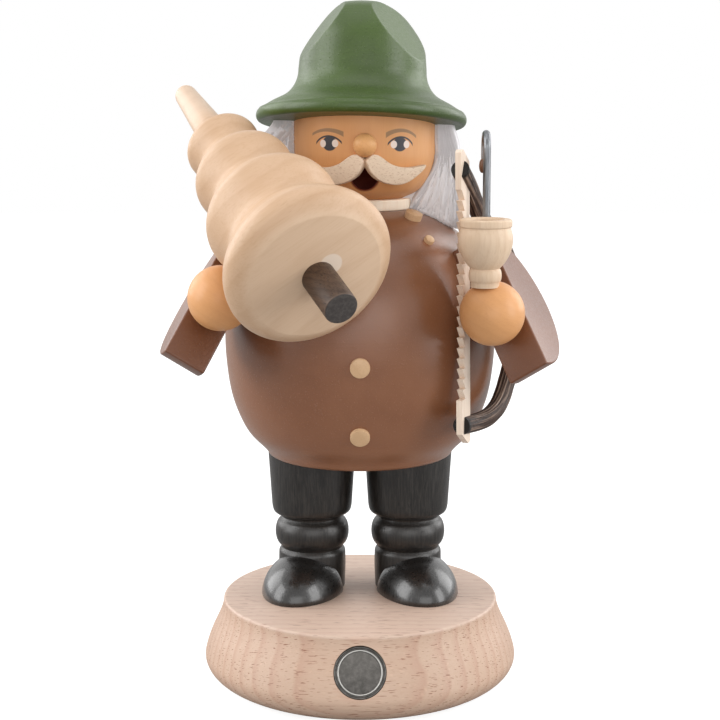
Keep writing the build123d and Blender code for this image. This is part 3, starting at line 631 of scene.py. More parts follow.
badge_outline = eased([
    ((0, badge_back), 0), ((badge_radius, badge_back), 0.1), ((badge_radius, badge_face), 0.18),
    ((6.1, badge_face), 0.1), ((6.0, 0.6), 0.06), ((5.72, 0.6), 0.06), ((5.62, 0.9), 0.08),
    ((5.28, 0.9), 0.08), ((5.18, 0.58), 0.06), ((0, 0.52), 0),
])
badge = turned("badge_cast", badge_outline, struck_pewter(), badge_frame, turns=96, sharp=50)
recess_radius = badge_radius + 0.12
recess_outline = [(0, badge_back), (recess_radius, badge_back), (recess_radius, 6), (0, 6)]
drilled(foot_plate, turned("badge_bit", recess_outline, beech, badge_frame, turns=96), 35)
seat(foot_plate, "stand", "beech", "foot_plate")
seat(badge, "stand", "pewter", "badge")

# Legs and boots

black = black_stain("black_stained_beech", ((25, 22, 20), (48, 44, 40)), 0.28, 0.42)
boot_black = black_stain("black_waxed_beech", ((15, 13, 12), (30, 27, 24)), 0.26, 0.36, wax=0.6)
leg_spread, leg_set_back = 13.0, 7.5
leg_outline = eased([
    ((0, plate_top), 0), ((8.8, plate_top), 0.3), ((9.1, plate_top + 6), 2), ((9.0, plate_top + 10.2), 0.8),
    ((8.3, plate_top + 11.1), 0.5),
]) + arc((8.25, plate_top + 15.4), 1.7, 3.6, -78, 78, 12) + eased([
    ((8.25, plate_top + 19.6), 0.2), ((8.5, plate_top + 20.3), 0.4), ((10.3, plate_top + 20.9), 0.9),
    ((10.75, plate_top + 22.4), 1.2), ((11.7, coat_foot - 0.3), 0.3), ((11.3, coat_foot), 0),
    ((0, coat_foot), 0),
])
toe_radius, toe_length, toe_height, toe_out = 10.9, 16.8, 10.4, 13
toe_outline = [(0, 0), (10.7, 0.0)] + arc((0, 0), toe_radius, toe_height, 0, 90, 26)[1:]
for side, name in both_sides:
    leg_frame = moved(side * leg_spread, leg_set_back, 0)
    leg = turned(name + "_leg_turned", leg_outline, black, leg_frame, turns=96)
    seat(leg, "stand", "black_stained_wood", name + "_leg")
    toe_frame = moved(side * (leg_spread + 1.1), leg_set_back, plate_top) @ rotated(side * toe_out, "Z")
    toe_frame = toe_frame @ moved(0, -4.5, 0)
    drawn_out = Matrix.Diagonal((1, toe_length / toe_radius, 1, 1))
    toe = turned(name + "_toe_cap_turned", toe_outline, boot_black, toe_frame @ drawn_out, turns=128)
    pressed_flat(toe, toe_frame @ Vector((0, 0, 0)), toe_frame.to_3x3() @ Vector((0, 1, 0)), 0.6)
    seat(toe, "stand", "black_stained_wood", name + "_toe_cap")

# Coat and collar

coat_radius, belly_rise, shoulder_rise, fullness = 35.7, 31.0, 35.4, 2.5
coat_widest = coat_foot + belly_rise
coat_bore, neck_bore, chamber_top = 21.0, 4.5, coat_foot + 48
coat_lacquer = lacquer("brown_coat_lacquer", (134, 87, 58), (145, 98, 69), (125, 79, 51), 0.33, 0.02, 0.38)


def shoulder_level(radius):
    return coat_widest + shoulder_rise * (1 - (radius / coat_radius) ** fullness) ** (1 / fullness)


def shoulder_point(step):
    rise = 34.2 * (1 - (1 - step / 9) ** 2)
    return coat_radius * (1 - (rise / shoulder_rise) ** fullness) ** (1 / fullness), coat_widest + rise


belly = [(coat_radius * out, coat_foot + belly_rise * up)
         for out, up in ((0.814, 0.174), (0.896, 0.335), (0.951, 0.513), (0.987, 0.76))]
coat_outline = (
    [(coat_bore, chamber_top), (coat_bore, coat_foot + 0.4), (21.4, coat_foot), (23.9, coat_foot)]
    + smooth([(24.5, coat_foot + 0.35)] + belly + [(coat_radius, coat_widest)], (0.55, 1), (0, 1), 10)
    + smooth([shoulder_point(step) for step in range(10)], (0, 1), (-1, -0.06), 8)[1:]
    + [(neck_bore, collar_foot), (neck_bore, chamber_top), (coat_bore, chamber_top)]
)
coat = turned("coat_turned", coat_outline, coat_lacquer, moved(0, set_back, 0), turns=192)
seat(coat, "figure", "brown_lacquer", "coat")

# Painted light: the collar's linden is kept much paler than the other linden, making up for the shade that
# the head casts on it.
collar_wood = pale_wood("collar_linden", ((244, 224, 200), (250, 236, 216), (238, 216, 188), (182, 138, 102)))
neck_radius, neck_length, collar_radius, collar_height = 7, 5.4, 12.4, 2.9
collar_outline = eased([
    ((neck_bore, -5), 0), ((neck_radius, -5), 0.1), ((neck_radius, 0), 0), ((collar_radius, 0), 0.5),
    ((collar_radius, collar_height), 0.5), ((neck_radius, collar_height), 0),
    ((neck_radius, neck_length), 0.1), ((neck_bore, neck_length), 0), ((neck_bore, -5), 0),
])
collar_frame = moved(neck_shift, set_back, collar_foot)
collar = turned("collar_turned", collar_outline, collar_wood, collar_frame, turns=96)
seat(collar, "figure", "pale_wood", "collar")


# Buttons and studs

def make_stud_setter():
    """Sets one dowel end, already turned, on each seat along its facing direction."""
    jig = Jig("studs set on their seats", Radius="Float", Stand="Float", Sink="Float")
    radius, stand, sunk = jig.given["Radius"], jig.given["Stand"], jig.given["Sink"] * -1.0
    facing = jig.named("facing", "FLOAT_VECTOR")
    turn = jig.made("FunctionNodeAlignRotationToVector", {"Vector": facing}, axis="Z")
    inner, lip = radius - 0.32, stand - 0.02
    parts = []
    for disc_radius, height in ((radius, sunk), (inner, lip)):
        disc = jig.made("GeometryNodeMeshCircle", {"Vertices": 40, "Radius": disc_radius},
                        fill_type="TRIANGLE_FAN")
        parts.append(jig.made("GeometryNodeTransform", {"Geometry": disc, "Translation": jig.join(z=height)}))
    sizes = {"Vertices": 40, "Side Segments": 3, "Radius": 1.0, "Depth": 1.0}
    body = jig.made("GeometryNodeMeshCylinder", sizes, "Mesh", fill_type="NONE")
    x, y, z = jig.parts(jig.position())
    step = jig.math("ROUND", (z + 0.5) * 3.0)
    height, width = sunk, radius
    for number, next_height, next_width in ((1, stand - 0.34, radius), (2, stand - 0.12, radius - 0.09),
                                            (3, lip, inner)):
        reached = jig.math("GREATER_THAN", step, number - 0.5)
        height = jig.made("ShaderNodeMix", {0: reached, 2: height, 3: next_height})
        width = jig.made("ShaderNodeMix", {0: reached, 2: width, 3: next_width})
    stud = jig.add("GeometryNodeJoinGeometry")
    for part in [jig.placed(body, jig.join(x * width, y * width, height))] + parts:
        jig.link(part, stud.inputs[0])
    stud = jig.merged(Value(jig, stud.outputs[0]), 0.002)
    points = jig.made("GeometryNodeMeshToPoints", {"Mesh": jig.given["Geometry"]})
    return jig.close(jig.made("GeometryNodeInstanceOnPoints",
                              {"Points": points, "Instance": stud, "Rotation": turn}))


stud_setter = make_stud_setter()
stud_wood = pale_wood("stud_birch", ((196, 158, 120), (208, 172, 134), (186, 146, 106), (146, 104, 70)),
                      grain=(0, 0.8, 0.4), rings=(0.9, 0, 0.4), contrast=0.3)


def set_studs(node, seats, radius, stand):
    blank = mesh_of([place for place, facing in seats])
    facings = blank.attributes.new("facing", "FLOAT_VECTOR", "POINT")
    for row, (place, facing) in zip(facings.data, seats):
        row.vector = facing
    studs = stud_setter.cut(node + "_turned", blank, stud_wood, Radius=radius, Stand=stand, Sink=1.5)
    seat(studs, "figure", "pale_wood", node)


def shoulder_seat(ring, angle):
    """A seat on the coat's shoulder, at a ring and an angle from the front."""
    level = shoulder_level(ring)
    out = (ring / coat_radius) ** (fullness - 1) / coat_radius
    up = ((level - coat_widest) / shoulder_rise) ** (fullness - 1) / shoulder_rise
    turn = math.radians(angle)
    return (
        (ring * math.sin(turn), set_back - ring * math.cos(turn), level),
        (out * math.sin(turn), -out * math.cos(turn), up),
    )


def front_seat(level):
    """A seat on the coat's front at a height, square to its outline."""
    line = [point for point in coat_outline[4:] if point[0] > 20]
    radius, lean = [
        np.interp(height, [point[1] for point in line], [point[0] for point in line])
        for height in (level, level + 1)
    ]
    return (0, set_back - radius, level), unit((0, -1, radius - lean))


lowest_button, button_gap = 71.1, 18
buttons = [front_seat(lowest_button + button_gap * step) for step in range(3)]
set_studs("coat_buttons", buttons, 2.5, 1.0)
set_studs("collar_studs", [shoulder_seat(18.2, side * 47.7) for side, name in both_sides], 2.25, 1.7)
set_studs("lapel_studs", [shoulder_seat(26.4, side * 40.7) for side, name in both_sides], 1.3, 1.1)


# Head and face

class Face:
    """The painter's eyes and brows, set out by girth round the head and by height."""

    def __init__(self, finish):
        self.finish = finish
        self.x, self.y, self.level = finish.parts(finish.place)
        self.girth = finish.bearing(self.x, self.y) * head_radius

    def distance(self, middle, across=1.0, up=1.0):
        side = (self.girth - middle[0]) / across
        rise = (self.level - middle[1]) / up
        return (side * side + rise * rise) ** 0.5

    def dab(self, middle, across, up):
        return self.finish.span(self.distance(middle, across, up), 0.94, 1.06, 1.0, 0.0)

    def stroke(self, first, top, last, width_first, width_last, soft=0.06):
        """A brush stroke on the circle through three places, tapering from first to last."""
        finish = self.finish
        (ax, ay), (bx, by), (cx, cy) = first, top, last
        twice = 2 * (ax * (by - cy) + bx * (cy - ay) + cx * (ay - by))
        squares = [px * px + py * py for px, py in (first, top, last)]
        middle = (
            (squares[0] * (by - cy) + squares[1] * (cy - ay) + squares[2] * (ay - by)) / twice,
            (squares[0] * (cx - bx) + squares[1] * (ax - cx) + squares[2] * (bx - ax)) / twice,
        )
        radius = math.hypot(ax - middle[0], ay - middle[1])
        off = finish.math("ABSOLUTE", self.distance(middle) - radius)
        along = finish.span(self.girth, ax, cx, soft=False)
        width = finish.span(along, 0.0, 1.0, width_first / 2, width_last / 2, soft=False)
        inked = finish.span(width - off, -soft, soft)
        begun, ended = [
            finish.span(self.girth, side - 0.15 * way, side + 0.15 * way)
            for side, way in ((ax, 1 if cx > ax else -1), (cx, 1 if cx < ax else -1))
        ]
        return inked * finish.math("GREATER_THAN", self.level, middle[1]) * (begun * ended)


# Girth from the middle of the face towards the figure's left, and height above the table
eyes = {
    "right": dict(iris=((-9.25, 143.0), 2.05, 1.84), whites=((-11.2, 142.95), (-7.66, 143.05)),
                  lash=((-13.35, 143.0), (-9.37, 144.85), (-5.85, 143.2)),
                  brow=((-5.4, 145.35), (-9.3, 146.35), (-14.7, 145.15))),
    "left": dict(iris=((9.25, 142.8), 2.02, 1.78), whites=((7.5, 142.78), (11.2, 142.72)),
                 lash=((5.85, 142.85), (9.21, 144.6), (13.15, 142.6)),
                 brow=((5.35, 145.1), (9.0, 146.25), (14.35, 144.55))),
}
brow_widths, lash_width, white_width, white_height = (1.15, 0.55), 0.42, 0.88, 0.96
mouth_height, mouth_radius = 134.7, 3.35
chin_radius, jaw_spread, jaw_rise, head_radius = 10.7, 7.9, 11.8, 18.6


def painted_head():
    """Stained head with eyes and brows put on by brush, and the mouth browned by the burner."""
    finish, colour, rough = wood("stained_head", skin_tones, (0.7, 0.7, 0), (0, 0, 1), ring_width=7,
                                 contrast=0.2, pores=0.0, roughness=0.44, streak=0.16)
    face = Face(finish)
    for eye in eyes.values():
        brow = face.stroke(*eye["brow"], *brow_widths, soft=0.1)
        colour = finish.blend(brow * 0.72, colour, paint(124, 104, 82))
    for eye in eyes.values():
        colour = finish.blend(face.dab(*eye["iris"]), colour, paint(60, 60, 66))
        for white in eye["whites"]:
            colour = finish.blend(face.dab(white, white_width, white_height), colour, paint(232, 216, 206))
        lash = face.stroke(*eye["lash"], lash_width, lash_width)
        colour = finish.blend(lash, colour, paint(58, 58, 62))
    side, rise = face.x - neck_shift, face.level - mouth_height
    reach = (side * side + rise * rise) ** 0.5
    front = finish.span(face.y, -8.0, -4.0, 1.0, 0.0)
    burnt = finish.span(reach, mouth_radius + 0.1, mouth_radius + 0.75, 1.0, 0.0)
    colour = finish.blend(burnt * front, colour, paint(112, 48, 28))
    inward = finish.distance(finish.join(side, face.y, rise), (0, 5.0, 0))
    in_bore = finish.span(reach, mouth_radius - 0.02, mouth_radius + 0.3, 1.0, 0.0)
    sooty = finish.span(inward, 13.6, 16.6, 1.0, 0.0) * in_bore
    colour = finish.blend(sooty, colour, paint(118, 50, 36))
    return finish.done(colour, finish.math("MAXIMUM", rough, sooty * 0.95))


skin = painted_head()
head_frame = moved(neck_shift, set_back, 0)
jaw_top, head_top = head_foot + jaw_rise, hat_seat_height + 3.6
jaw = [(chin_radius + jaw_spread * out, head_foot + jaw_rise * up)
       for out, up in ((0.49, 0.19), (0.785, 0.46), (0.955, 0.79))]
head_outline = (
    [(0, head_foot), (10.2, head_foot)]
    + smooth([(chin_radius, head_foot + 0.25)] + jaw + [(head_radius, jaw_top)], (1, 0.42), (0, 1), 10)
    + [(head_radius, jaw_top + step) for step in range(1, 9)] + [(head_radius, head_top), (0, head_top)]
)
head = turned("head_turned", head_outline, skin, head_frame, turns=192)
mouth_outline = [(0, 5.0), (mouth_radius, 9.5), (mouth_radius, 24), (0, 24)]
mouth_frame = moved(neck_shift, set_back, mouth_height) @ rotated(90, "X")
drilled(head, turned("mouth_bit", mouth_outline, skin, mouth_frame, turns=48), 40)
seat(head, "figure", "skin_stain", "head")

face_reach, nose_radius = 19.9, 3.0
nose_frame = moved(neck_shift, set_back - face_reach, head_foot + 14.3) @ rotated(90, "X")
nose_wood = pale_wood("stained_nose", ((206, 146, 92), (222, 168, 112), (196, 134, 80), (158, 92, 48)),
                      grain=(0, 1, 0.1), rings=(0.6, 0, 0.8), ring_width=2.0, contrast=0.3, pores=0.35,
                      pore_size=(0.2, 0.6))
nose_outline = arc((0, 0), nose_radius, nose_radius, -90, 90, 32)
nose = turned("nose_turned", nose_outline, nose_wood, nose_frame, turns=64)
seat(nose, "figure", "skin_stain", "nose")

# Moustache, one half on each side of the parting

parting, moustache_length, moustache_height, moustache_turn = 0.25, 16.9, 7.7, 24
upper = ((0.02, 0.76), (0.13, 1.0), (0.235, 0.95), (0.38, 0.735), (0.57, 0.585), (0.76, 0.56), (1.0, 0.64))
lower = ((1.0, 0.64), (0.87, 0.31), (0.69, 0.07), (0.52, 0.0), (0.33, 0.07), (0.13, 0.33), (0.02, 0.76))
upper, lower = [[(parting + moustache_length * along, moustache_height * up) for along, up in edge]
                for edge in (upper, lower)]
moustache_line = smooth(upper, (0.25, 1), (1, 0.25), 6) + smooth(lower, (-0.2, -1), (-0.25, 1), 6)[1:-1]
moustache_woods = [
    pale_wood("moustache_oak_" + name, ((222, 198, 172), (232, 210, 186), (214, 188, 160), (188, 150, 118)),
              grain=(1, 0, -0.28 * side), rings=(0, 0.5, 1), ring_width=1.6, contrast=0.25, pores=0.5,
              pore_size=(0.12, 0.8), pore_share=0.585, roughness=0.55)
    for side, name in both_sides
]
for (side, name), oak in zip(both_sides, moustache_woods):
    outline = [(side * x, 0, z) for x, z in moustache_line[::-side]]
    reach = face_reach * math.tan(math.radians(moustache_turn))
    place = moved(neck_shift, set_back, head_foot + 4.3) @ rotated(side * moustache_turn, "Z")
    place = place @ moved(-side * reach, -face_reach, 0)
    half = sawn(name + "_moustache_sawn", outline, (0, 2.6, 0), oak, place, 0.28)
    seat(half, "figure", "pale_wood", name + "_moustache")

# Hat

hat_lacquer = lacquer("green_hat_lacquer", (60, 82, 24), (82, 104, 44), (50, 69, 19), 0.40, 0.05, 0.12)
hat_frame = frame_at((0.3, set_back, hat_seat_height), (-8.5, 1.5, -6))
crown_radius, crown_height, brim_spread = 16.5, 31.7, 10
brim_rise = [(crown_radius + brim_spread * out, crown_height * up)
             for out, up in ((0.72, 0.157), (0.31, 0.232), (0.10, 0.32), (0.02, 0.423))]
dome = [(crown_radius * out, crown_height * up) for out, up in
        ((0.994, 0.545), (0.964, 0.674), (0.873, 0.803), (0.70, 0.915), (0.42, 0.974), (0, 1))]
hat_outline = (
    [(0, 0), (26.1, 0)] + arc((26.25, 1.6), 1.15, 1.6, -90, 52, 14) + [(26.88, 2.9)]
    + smooth([(26.7, 3.22)] + brim_rise, (-1, 0.42), (-0.04, 1), 10)
    + smooth([brim_rise[-1]] + dome, (-0.04, 1), (-1, 0), 10)[1:]
)
hat = turned("hat_turned", hat_outline, hat_lacquer, hat_frame, turns=288)
flat_turn, flat_height, flat_lowest = 22, 24.8, hat_seat_height + 9.0
for side, radius, slope in ((-1, 10.6, 35.0), (1, 10.05, 36.0)):
    swung = hat_frame @ rotated(-side * flat_turn, "Z")
    outward = (swung @ rotated(-side * slope, "Y")).to_3x3() @ Vector((side, 0, 0))
    pressed_flat(hat, swung @ Vector((side * radius, 0, flat_height)), outward, 0.22, lowest=flat_lowest)
seat(hat, "figure", "green_lacquer", "hat")

# Arms and hands

arms = {
    "right": dict(side=-1, place=(-35.55, -24.87, 104.37), turns=(-36.8, 23.3, 24.2), radius=17.6, drop=1.5),
    "left": dict(side=1, place=(34.3, -22.0, 103.3), turns=(-29.9, -21.3, -32.8), radius=19.0, drop=3.4),
}
sleeve_lacquer = lacquer("brown_sleeve_lacquer", (116, 69, 40), (130, 83, 52), (106, 61, 34), 0.4, 0.03, 0.25)
sleeve_width, hand_radius = 11.0, 8.0
hands = {}
for name, arm in arms.items():
    side, radius = arm["side"], arm["radius"]
    matrix = frame_at(arm["place"], arm["turns"])
    half_disc = [(-side * sleeve_width / 2, y, -x) for x, y in arc((0, 0), radius, radius, 0, 180, 72)]
    sleeve = sawn(name + "_arm_turned", half_disc, (side * sleeve_width, 0, 0), sleeve_lacquer, matrix, 0.45)
    seat(sleeve, "figure", "brown_lacquer", name + "_arm")
    hands[name] = matrix @ Vector((side * 0.6, -7.5, -arm["drop"]))
    wrist = matrix.to_3x3() @ Vector((0, 1, 0))
    hand_wood = pale_wood(name + "_hand_stain", skin_tones, grain=(0.5 * side, 0.55, -0.5),
                          rings=(0.5, -0.2, 0.8), ring_width=2.6, contrast=0.3, pores=0.0, streak=0.2,
                          roughness=0.40)
    hand_frame = Matrix.Translation(hands[name]) @ wrist.to_track_quat("Z", "Y").to_matrix().to_4x4()
    ball = turned(name + "_hand_turned", arc((0, 0), hand_radius, hand_radius, -90, 90, 48), hand_wood,
                  hand_frame, turns=96)
    pressed_flat(ball, matrix @ Vector((0, -0.02, 0)), wrist, 0.1)
    seat(ball, "figure", "skin_stain", name + "_hand")

# Pipe bowl

pipe_frame = Matrix.Translation(hands["left"] + Vector((-2.0, -2.1, hand_radius)))
pipe_wood = pale_wood("pipe_linden", ((206, 176, 146), (220, 195, 168), (200, 168, 136), (160, 118, 85)),
                      ring_width=2.2, contrast=0.35)
bowl_radius, rim_radius, hollow_radius, pipe_height = 6.6, 6.38, 4.3, 15.2
pipe_outline = (
    [(0, -1.3), (3.5, -1.3), (3.5, -0.1)] + arc((3.45, 1.55), 0.55, 1.6, -80, 80, 10)
    + smooth([(3.5, 3.25), (bowl_radius, 10.2), (6.12, 12.85)], (1, 0.9), (-0.35, 1), 14)
    + eased([
        ((6.12, 12.95), 0), ((6.05, 13.15), 0.1), ((rim_radius, 13.4), 0.15), ((rim_radius, 14.95), 0.25),
        ((5.9, pipe_height), 0.3), ((4.7, pipe_height), 0.3), ((hollow_radius, 14.8), 0.3),
        ((hollow_radius, 9.6), 0.3), ((0, 9.4), 0),
    ])
)
bowl = turned("pipe_bowl_turned", pipe_outline, pipe_wood, pipe_frame, turns=96)
seat(bowl, "figure", "pale_wood", "pipe_bowl")


# Pipe stem and saw bow, drawn through one plate

def make_drawplate():
    """Draws a round rod along a line, with ridges along it if it is bark."""
    jig = Jig("drawn along a line", Radius="Float", Ridge="Float", Pinch="Float", Sides="Int",
              Spacing="Float")
    line = jig.made("GeometryNodeMeshToCurve", {"Mesh": jig.given["Geometry"]})
    line = jig.made("GeometryNodeResampleCurve", {"Curve": line, "Length": jig.given["Spacing"]},
                    mode="LENGTH")
    along = jig.made("GeometryNodeSplineParameter", out="Factor")
    line = jig.marked(line, "run", along)
    ends = jig.math("MAXIMUM", jig.span(along, 0.0, 0.05, 1.0, 0.0), jig.span(along, 0.95, 1.0))
    thickness = 1.0 - ends * jig.given["Pinch"]
    line = jig.made("GeometryNodeSetCurveRadius", {"Curve": line, "Radius": thickness})
    ring = jig.made("GeometryNodeCurvePrimitiveCircle",
                    {"Resolution": jig.given["Sides"], "Radius": jig.given["Radius"]})
    ring = jig.marked(ring, "round", along)
    rod = jig.made("GeometryNodeCurveToMesh", {"Curve": line, "Profile Curve": ring, "Fill Caps": True})
    turn, run = jig.named("round") * (2 * math.pi), jig.named("run")
    swirl = jig.join(jig.math("COSINE", turn) * 4.6, jig.math("SINE", turn) * 4.6, run * 2.6)
    ridge = jig.noise(swirl, 1.6, detail=3, roughness=0.6)
    rod = jig.marked(rod, "ridge", ridge)
    lift = (ridge - 0.5) * jig.given["Ridge"]
    between_ends = jig.math("GREATER_THAN", run, 0.001) * jig.math("LESS_THAN", run, 0.999)
    offset = jig.made("ShaderNodeVectorMath", {0: jig.made("GeometryNodeInputNormal"),
                                               "Scale": lift * between_ends}, operation="SCALE")
    return jig.close(jig.shifted(rod, offset))


drawplate = make_drawplate()


def drawn(name, line, radius, finish, matrix=None, ridge=0.0, pinch=0.0, sides=24, spacing=0.5, sharp=40):
    blank = mesh_of(line, edges=[(i, i + 1) for i in range(len(line) - 1)])
    return drawplate.cut(name, blank, finish, matrix, sharp, Radius=radius, Ridge=ridge, Pinch=pinch,
                         Sides=sides, Spacing=spacing)


steel = metal("drawn_steel_wire", (104, 106, 109), (136, 138, 141), 0.34, 1.6, (1, 1, 0.1), 0.008)
wire_radius, stem_shift, stem_level, stem_top, stem_end = 0.95, 0.7, 6.4, 35.05, 27.05
stem_back = bowl_radius + wire_radius + 0.35
stem_turn, hook_turn = 2.6, 3.366
stem_front, hook_back = stem_back - stem_turn - 4.3, stem_back + 6.8
stem_corners = [(0, stem_front, stem_level), (0, stem_back, stem_level), (0, stem_back, stem_top),
                (0, hook_back, stem_top), (0, hook_back, stem_end)]
stem = drawn("pipe_stem_bent", bent(stem_corners, (stem_turn, hook_turn, hook_turn)), wire_radius, steel,
             pipe_frame @ moved(stem_shift, 0, 0), spacing=0.35)
seat(stem, "figure", "steel_wire", "pipe_stem")

mouthpiece_stain = pale_wood("mouthpiece_stain", ((96, 62, 44), (118, 80, 58), (78, 50, 36), (50, 32, 24)),
                             ring_width=0.9, contrast=0.5)
mouthpiece_outline = [(0, 0), (0.9, 0)] + arc((0.8, 1.7), 0.65, 1.7, -80, 80, 12) + [(0.9, 3.4), (0, 3.4)]
mouthpiece = turned("mouthpiece_turned", mouthpiece_outline, mouthpiece_stain,
                    pipe_frame @ moved(stem_shift, hook_back, 25.34), turns=40)
seat(mouthpiece, "figure", "dark_wood", "pipe_mouthpiece")

# Saw blade

saw_length, saw_width, saw_thickness = 73.5, 7.1, 1.5
tooth_count, tooth_pitch, tooth_first, tooth_depth, tooth_inset = 20, 2.6, 11.8, 2.4, 0.5
tooth_root = tooth_inset + tooth_depth
tooth_last = tooth_first + tooth_count * tooth_pitch
saw_frame = frame_at((23.49, -27.2, 105.45), (0, -0.8, -20)) @ moved(0, 0, -saw_length / 2)
blade_wood = pale_wood("blade_linden", ((224, 200, 178), (240, 222, 204), (216, 187, 162), (168, 128, 98)),
                       grain=(0.05, 0, 1), rings=(1, 0.3, 0), ring_width=2.0, contrast=0.35)


def make_tooth_row():
    """Repeats one tooth's cell up the blade and joins the cells into one strip."""
    jig = Jig("teeth cut along the blade", Count="Int", Pitch="Float", First="Float")
    start, offset = jig.join(z=jig.given["First"]), jig.join(z=jig.given["Pitch"])
    row = jig.made("GeometryNodeMeshLine",
                   {"Count": jig.given["Count"], "Start Location": start, "Offset": offset}, mode="OFFSET")
    cells = jig.made("GeometryNodeInstanceOnPoints", {"Points": row, "Instance": jig.given["Geometry"]})
    return jig.close(jig.merged(jig.made("GeometryNodeRealizeInstances", {"Geometry": cells}), 0.01))


def cut_blade():
    """The toothed strip with its two plain ends, sawn from one board."""
    cell = mesh_of([(0, tooth_root, 0), (0, tooth_inset, tooth_pitch), (0, tooth_root, tooth_pitch),
                    (0, saw_width, tooth_pitch), (0, saw_width, 0)], faces=[(0, 1, 2), (0, 2, 3, 4)])
    strip = make_tooth_row().cut("teeth", cell, blade_wood, Count=tooth_count, Pitch=tooth_pitch,
                                 First=tooth_first)
    foot_end = [(5.2, 0), (6.5, 0), (saw_width, 0.6), (saw_width, tooth_first), (tooth_root, tooth_first),
                (0.15, tooth_first), (0, tooth_first - 0.3), (0, 3.2)]
    top_end = [(tooth_root, tooth_last), (saw_width, tooth_last), (saw_width, saw_length - 3.2),
               (saw_width - 5.2, saw_length), (0.7, saw_length), (0, saw_length - 0.7),
               (0, tooth_last + 0.3), (0.15, tooth_last)]
    work = bmesh.new()
    work.from_mesh(strip.data)
    bmesh.ops.transform(work, matrix=to_metres.inverted(), verts=work.verts)
    bpy.data.objects.remove(strip)
    for end in (foot_end, top_end):
        work.faces.new([work.verts.new((0, y, z)) for y, z in end])
    bmesh.ops.remove_doubles(work, verts=work.verts, dist=0.01)
    pushed_up(work, work.faces[:], (saw_thickness, 0, 0))
    edges = [edge for edge in work.edges
             if len(edge.link_faces) == 2 and edge.calc_face_angle(0) > math.radians(60)
             and abs(edge.verts[0].co.x - edge.verts[1].co.x) < 0.01]
    eased_edges(work, edges, 0.12, 2)
    mesh = bpy.data.meshes.new("saw_blade_cut")
    work.to_mesh(mesh)
    work.free()
    return finished("saw_blade_cut", mesh, blade_wood, saw_frame, 30)


seat(cut_blade(), "figure", "pale_wood", "saw_blade")

# Saw bow

bow_head, bow_foot = [saw_frame @ Vector((saw_thickness / 2, start, height))
                      for start, height in ((1.5, saw_length - 4.6), (1.8, 5.1))]
knots = [tuple(bow_head), (28.0, -15.0, 130.2), (31.4, -7.0, 123.4), (36.2, -1.5, 117.0), (39.6, 1.4, 109.0),
         (41.2, 1.6, 95.0), (38.3, -3.0, 80.6), (32.8, -14.0, 73.8), (28.8, -19.0, 73.2), tuple(bow_foot)]
bow_line = smooth(knots, np.subtract(knots[1], knots[0]), np.subtract(knots[-1], knots[-2]), 12)
reed_radius = 2.25
bow = drawn("saw_bow_bent", bow_line, reed_radius, reed(), ridge=0.9, pinch=0.22, sides=64, spacing=0.45,
            sharp=60)
seat(bow, "figure", "dark_wood", "saw_bow")

# Tree

tree_yaw, tree_rise = math.radians(26.4), math.radians(25.9)
tree_tip = Vector((-math.cos(tree_rise) * math.sin(tree_yaw), math.cos(tree_rise) * math.cos(tree_yaw),
                   math.sin(tree_rise)))
tree_across = Vector((math.cos(tree_yaw), math.sin(tree_yaw), 0))
tree_place = Vector((-11.85, -53.3, 117.05))
tree_turn = Matrix((tree_across, tree_tip.cross(tree_across), tree_tip)).transposed().to_4x4()
tree_frame = Matrix.Translation(tree_place) @ tree_turn
tree_level = tree_place.dot(tree_tip)
tree_front, spike_radius, tip_radius, tip_foot = -4.9, 4.25, 2.95, 88.3 - 2.95
waist_share, last_ripple, last_waist = 0.58, 57.1, 6.4
ripples = ((20.4, 0.0, 14.6), (16.6, 22.5, 10.9), (12.65, 41.5, 7.9), (9.45, last_ripple, spike_radius))
nexts = [place for radius, place, waist in ripples[1:]] + [last_ripple + last_waist / waist_share]
skirt = []
for (radius, place, waist), following in zip(ripples, nexts):
    skirt += [(radius, place), (waist, place + (following - place) * waist_share)]
tree_outline = (
    [(0, tree_front), (15.75, tree_front)] + smooth([(16.15, -4.72), skirt[0]], (1, 0.55), (0, 1), 10)
    + smooth(skirt, (0, 1), (tip_radius - spike_radius, tip_foot - skirt[-1][1]), 14)[1:]
    + arc((0, tip_foot), tip_radius, tip_radius, 0, 90, 12)
)


def tree_linden():
    """Linden with its grain across the tree, paler towards the spike, its front face painted lighter to stand
    in for light on it, with a pale spot by the trunk.
    """
    tones = ((188, 151, 118), (204, 171, 140), (181, 141, 106), (150, 106, 74))
    finish, colour, rough = wood("tree_linden", tones, (-0.55, 0.35, 0.75), (0.62, 0.10, 0.5), ring_width=4.5,
                                 contrast=0.35, pores=0.10, roughness=0.42, streak=0.28)
    along = finish.dot(finish.place, tree_tip)
    spike = finish.span(along, tree_level + 62, tree_level + 74, 0.0, 0.40)
    colour = finish.blend(spike, colour, paint(226, 210, 194))
    # Painted light: the front face is screened lighter, standing in for the light that falls on it.
    front = finish.span(along, tree_level + tree_front, tree_level - 3.4, 1.0, 0.0)
    colour = finish.blend(front, colour, paint(116, 100, 86), "SCREEN")
    # A pale oval spot painted on the front face beside the trunk.
    spot = tree_frame @ Vector((3.0, -3.2, tree_front))
    pale_spot = finish.span(finish.distance(finish.place, spot), 2.55, 2.95, 1.0, 0.0)
    colour = finish.blend(pale_spot * 0.6, colour, paint(232, 218, 204))
    return finish.done(colour, rough)


tree = turned("tree_turned", tree_outline, tree_linden(), tree_frame, turns=192, sharp=50)
seat(tree, "figure", "pale_wood", "tree")

trunk_length, trunk_radius = 18.2, 4.0


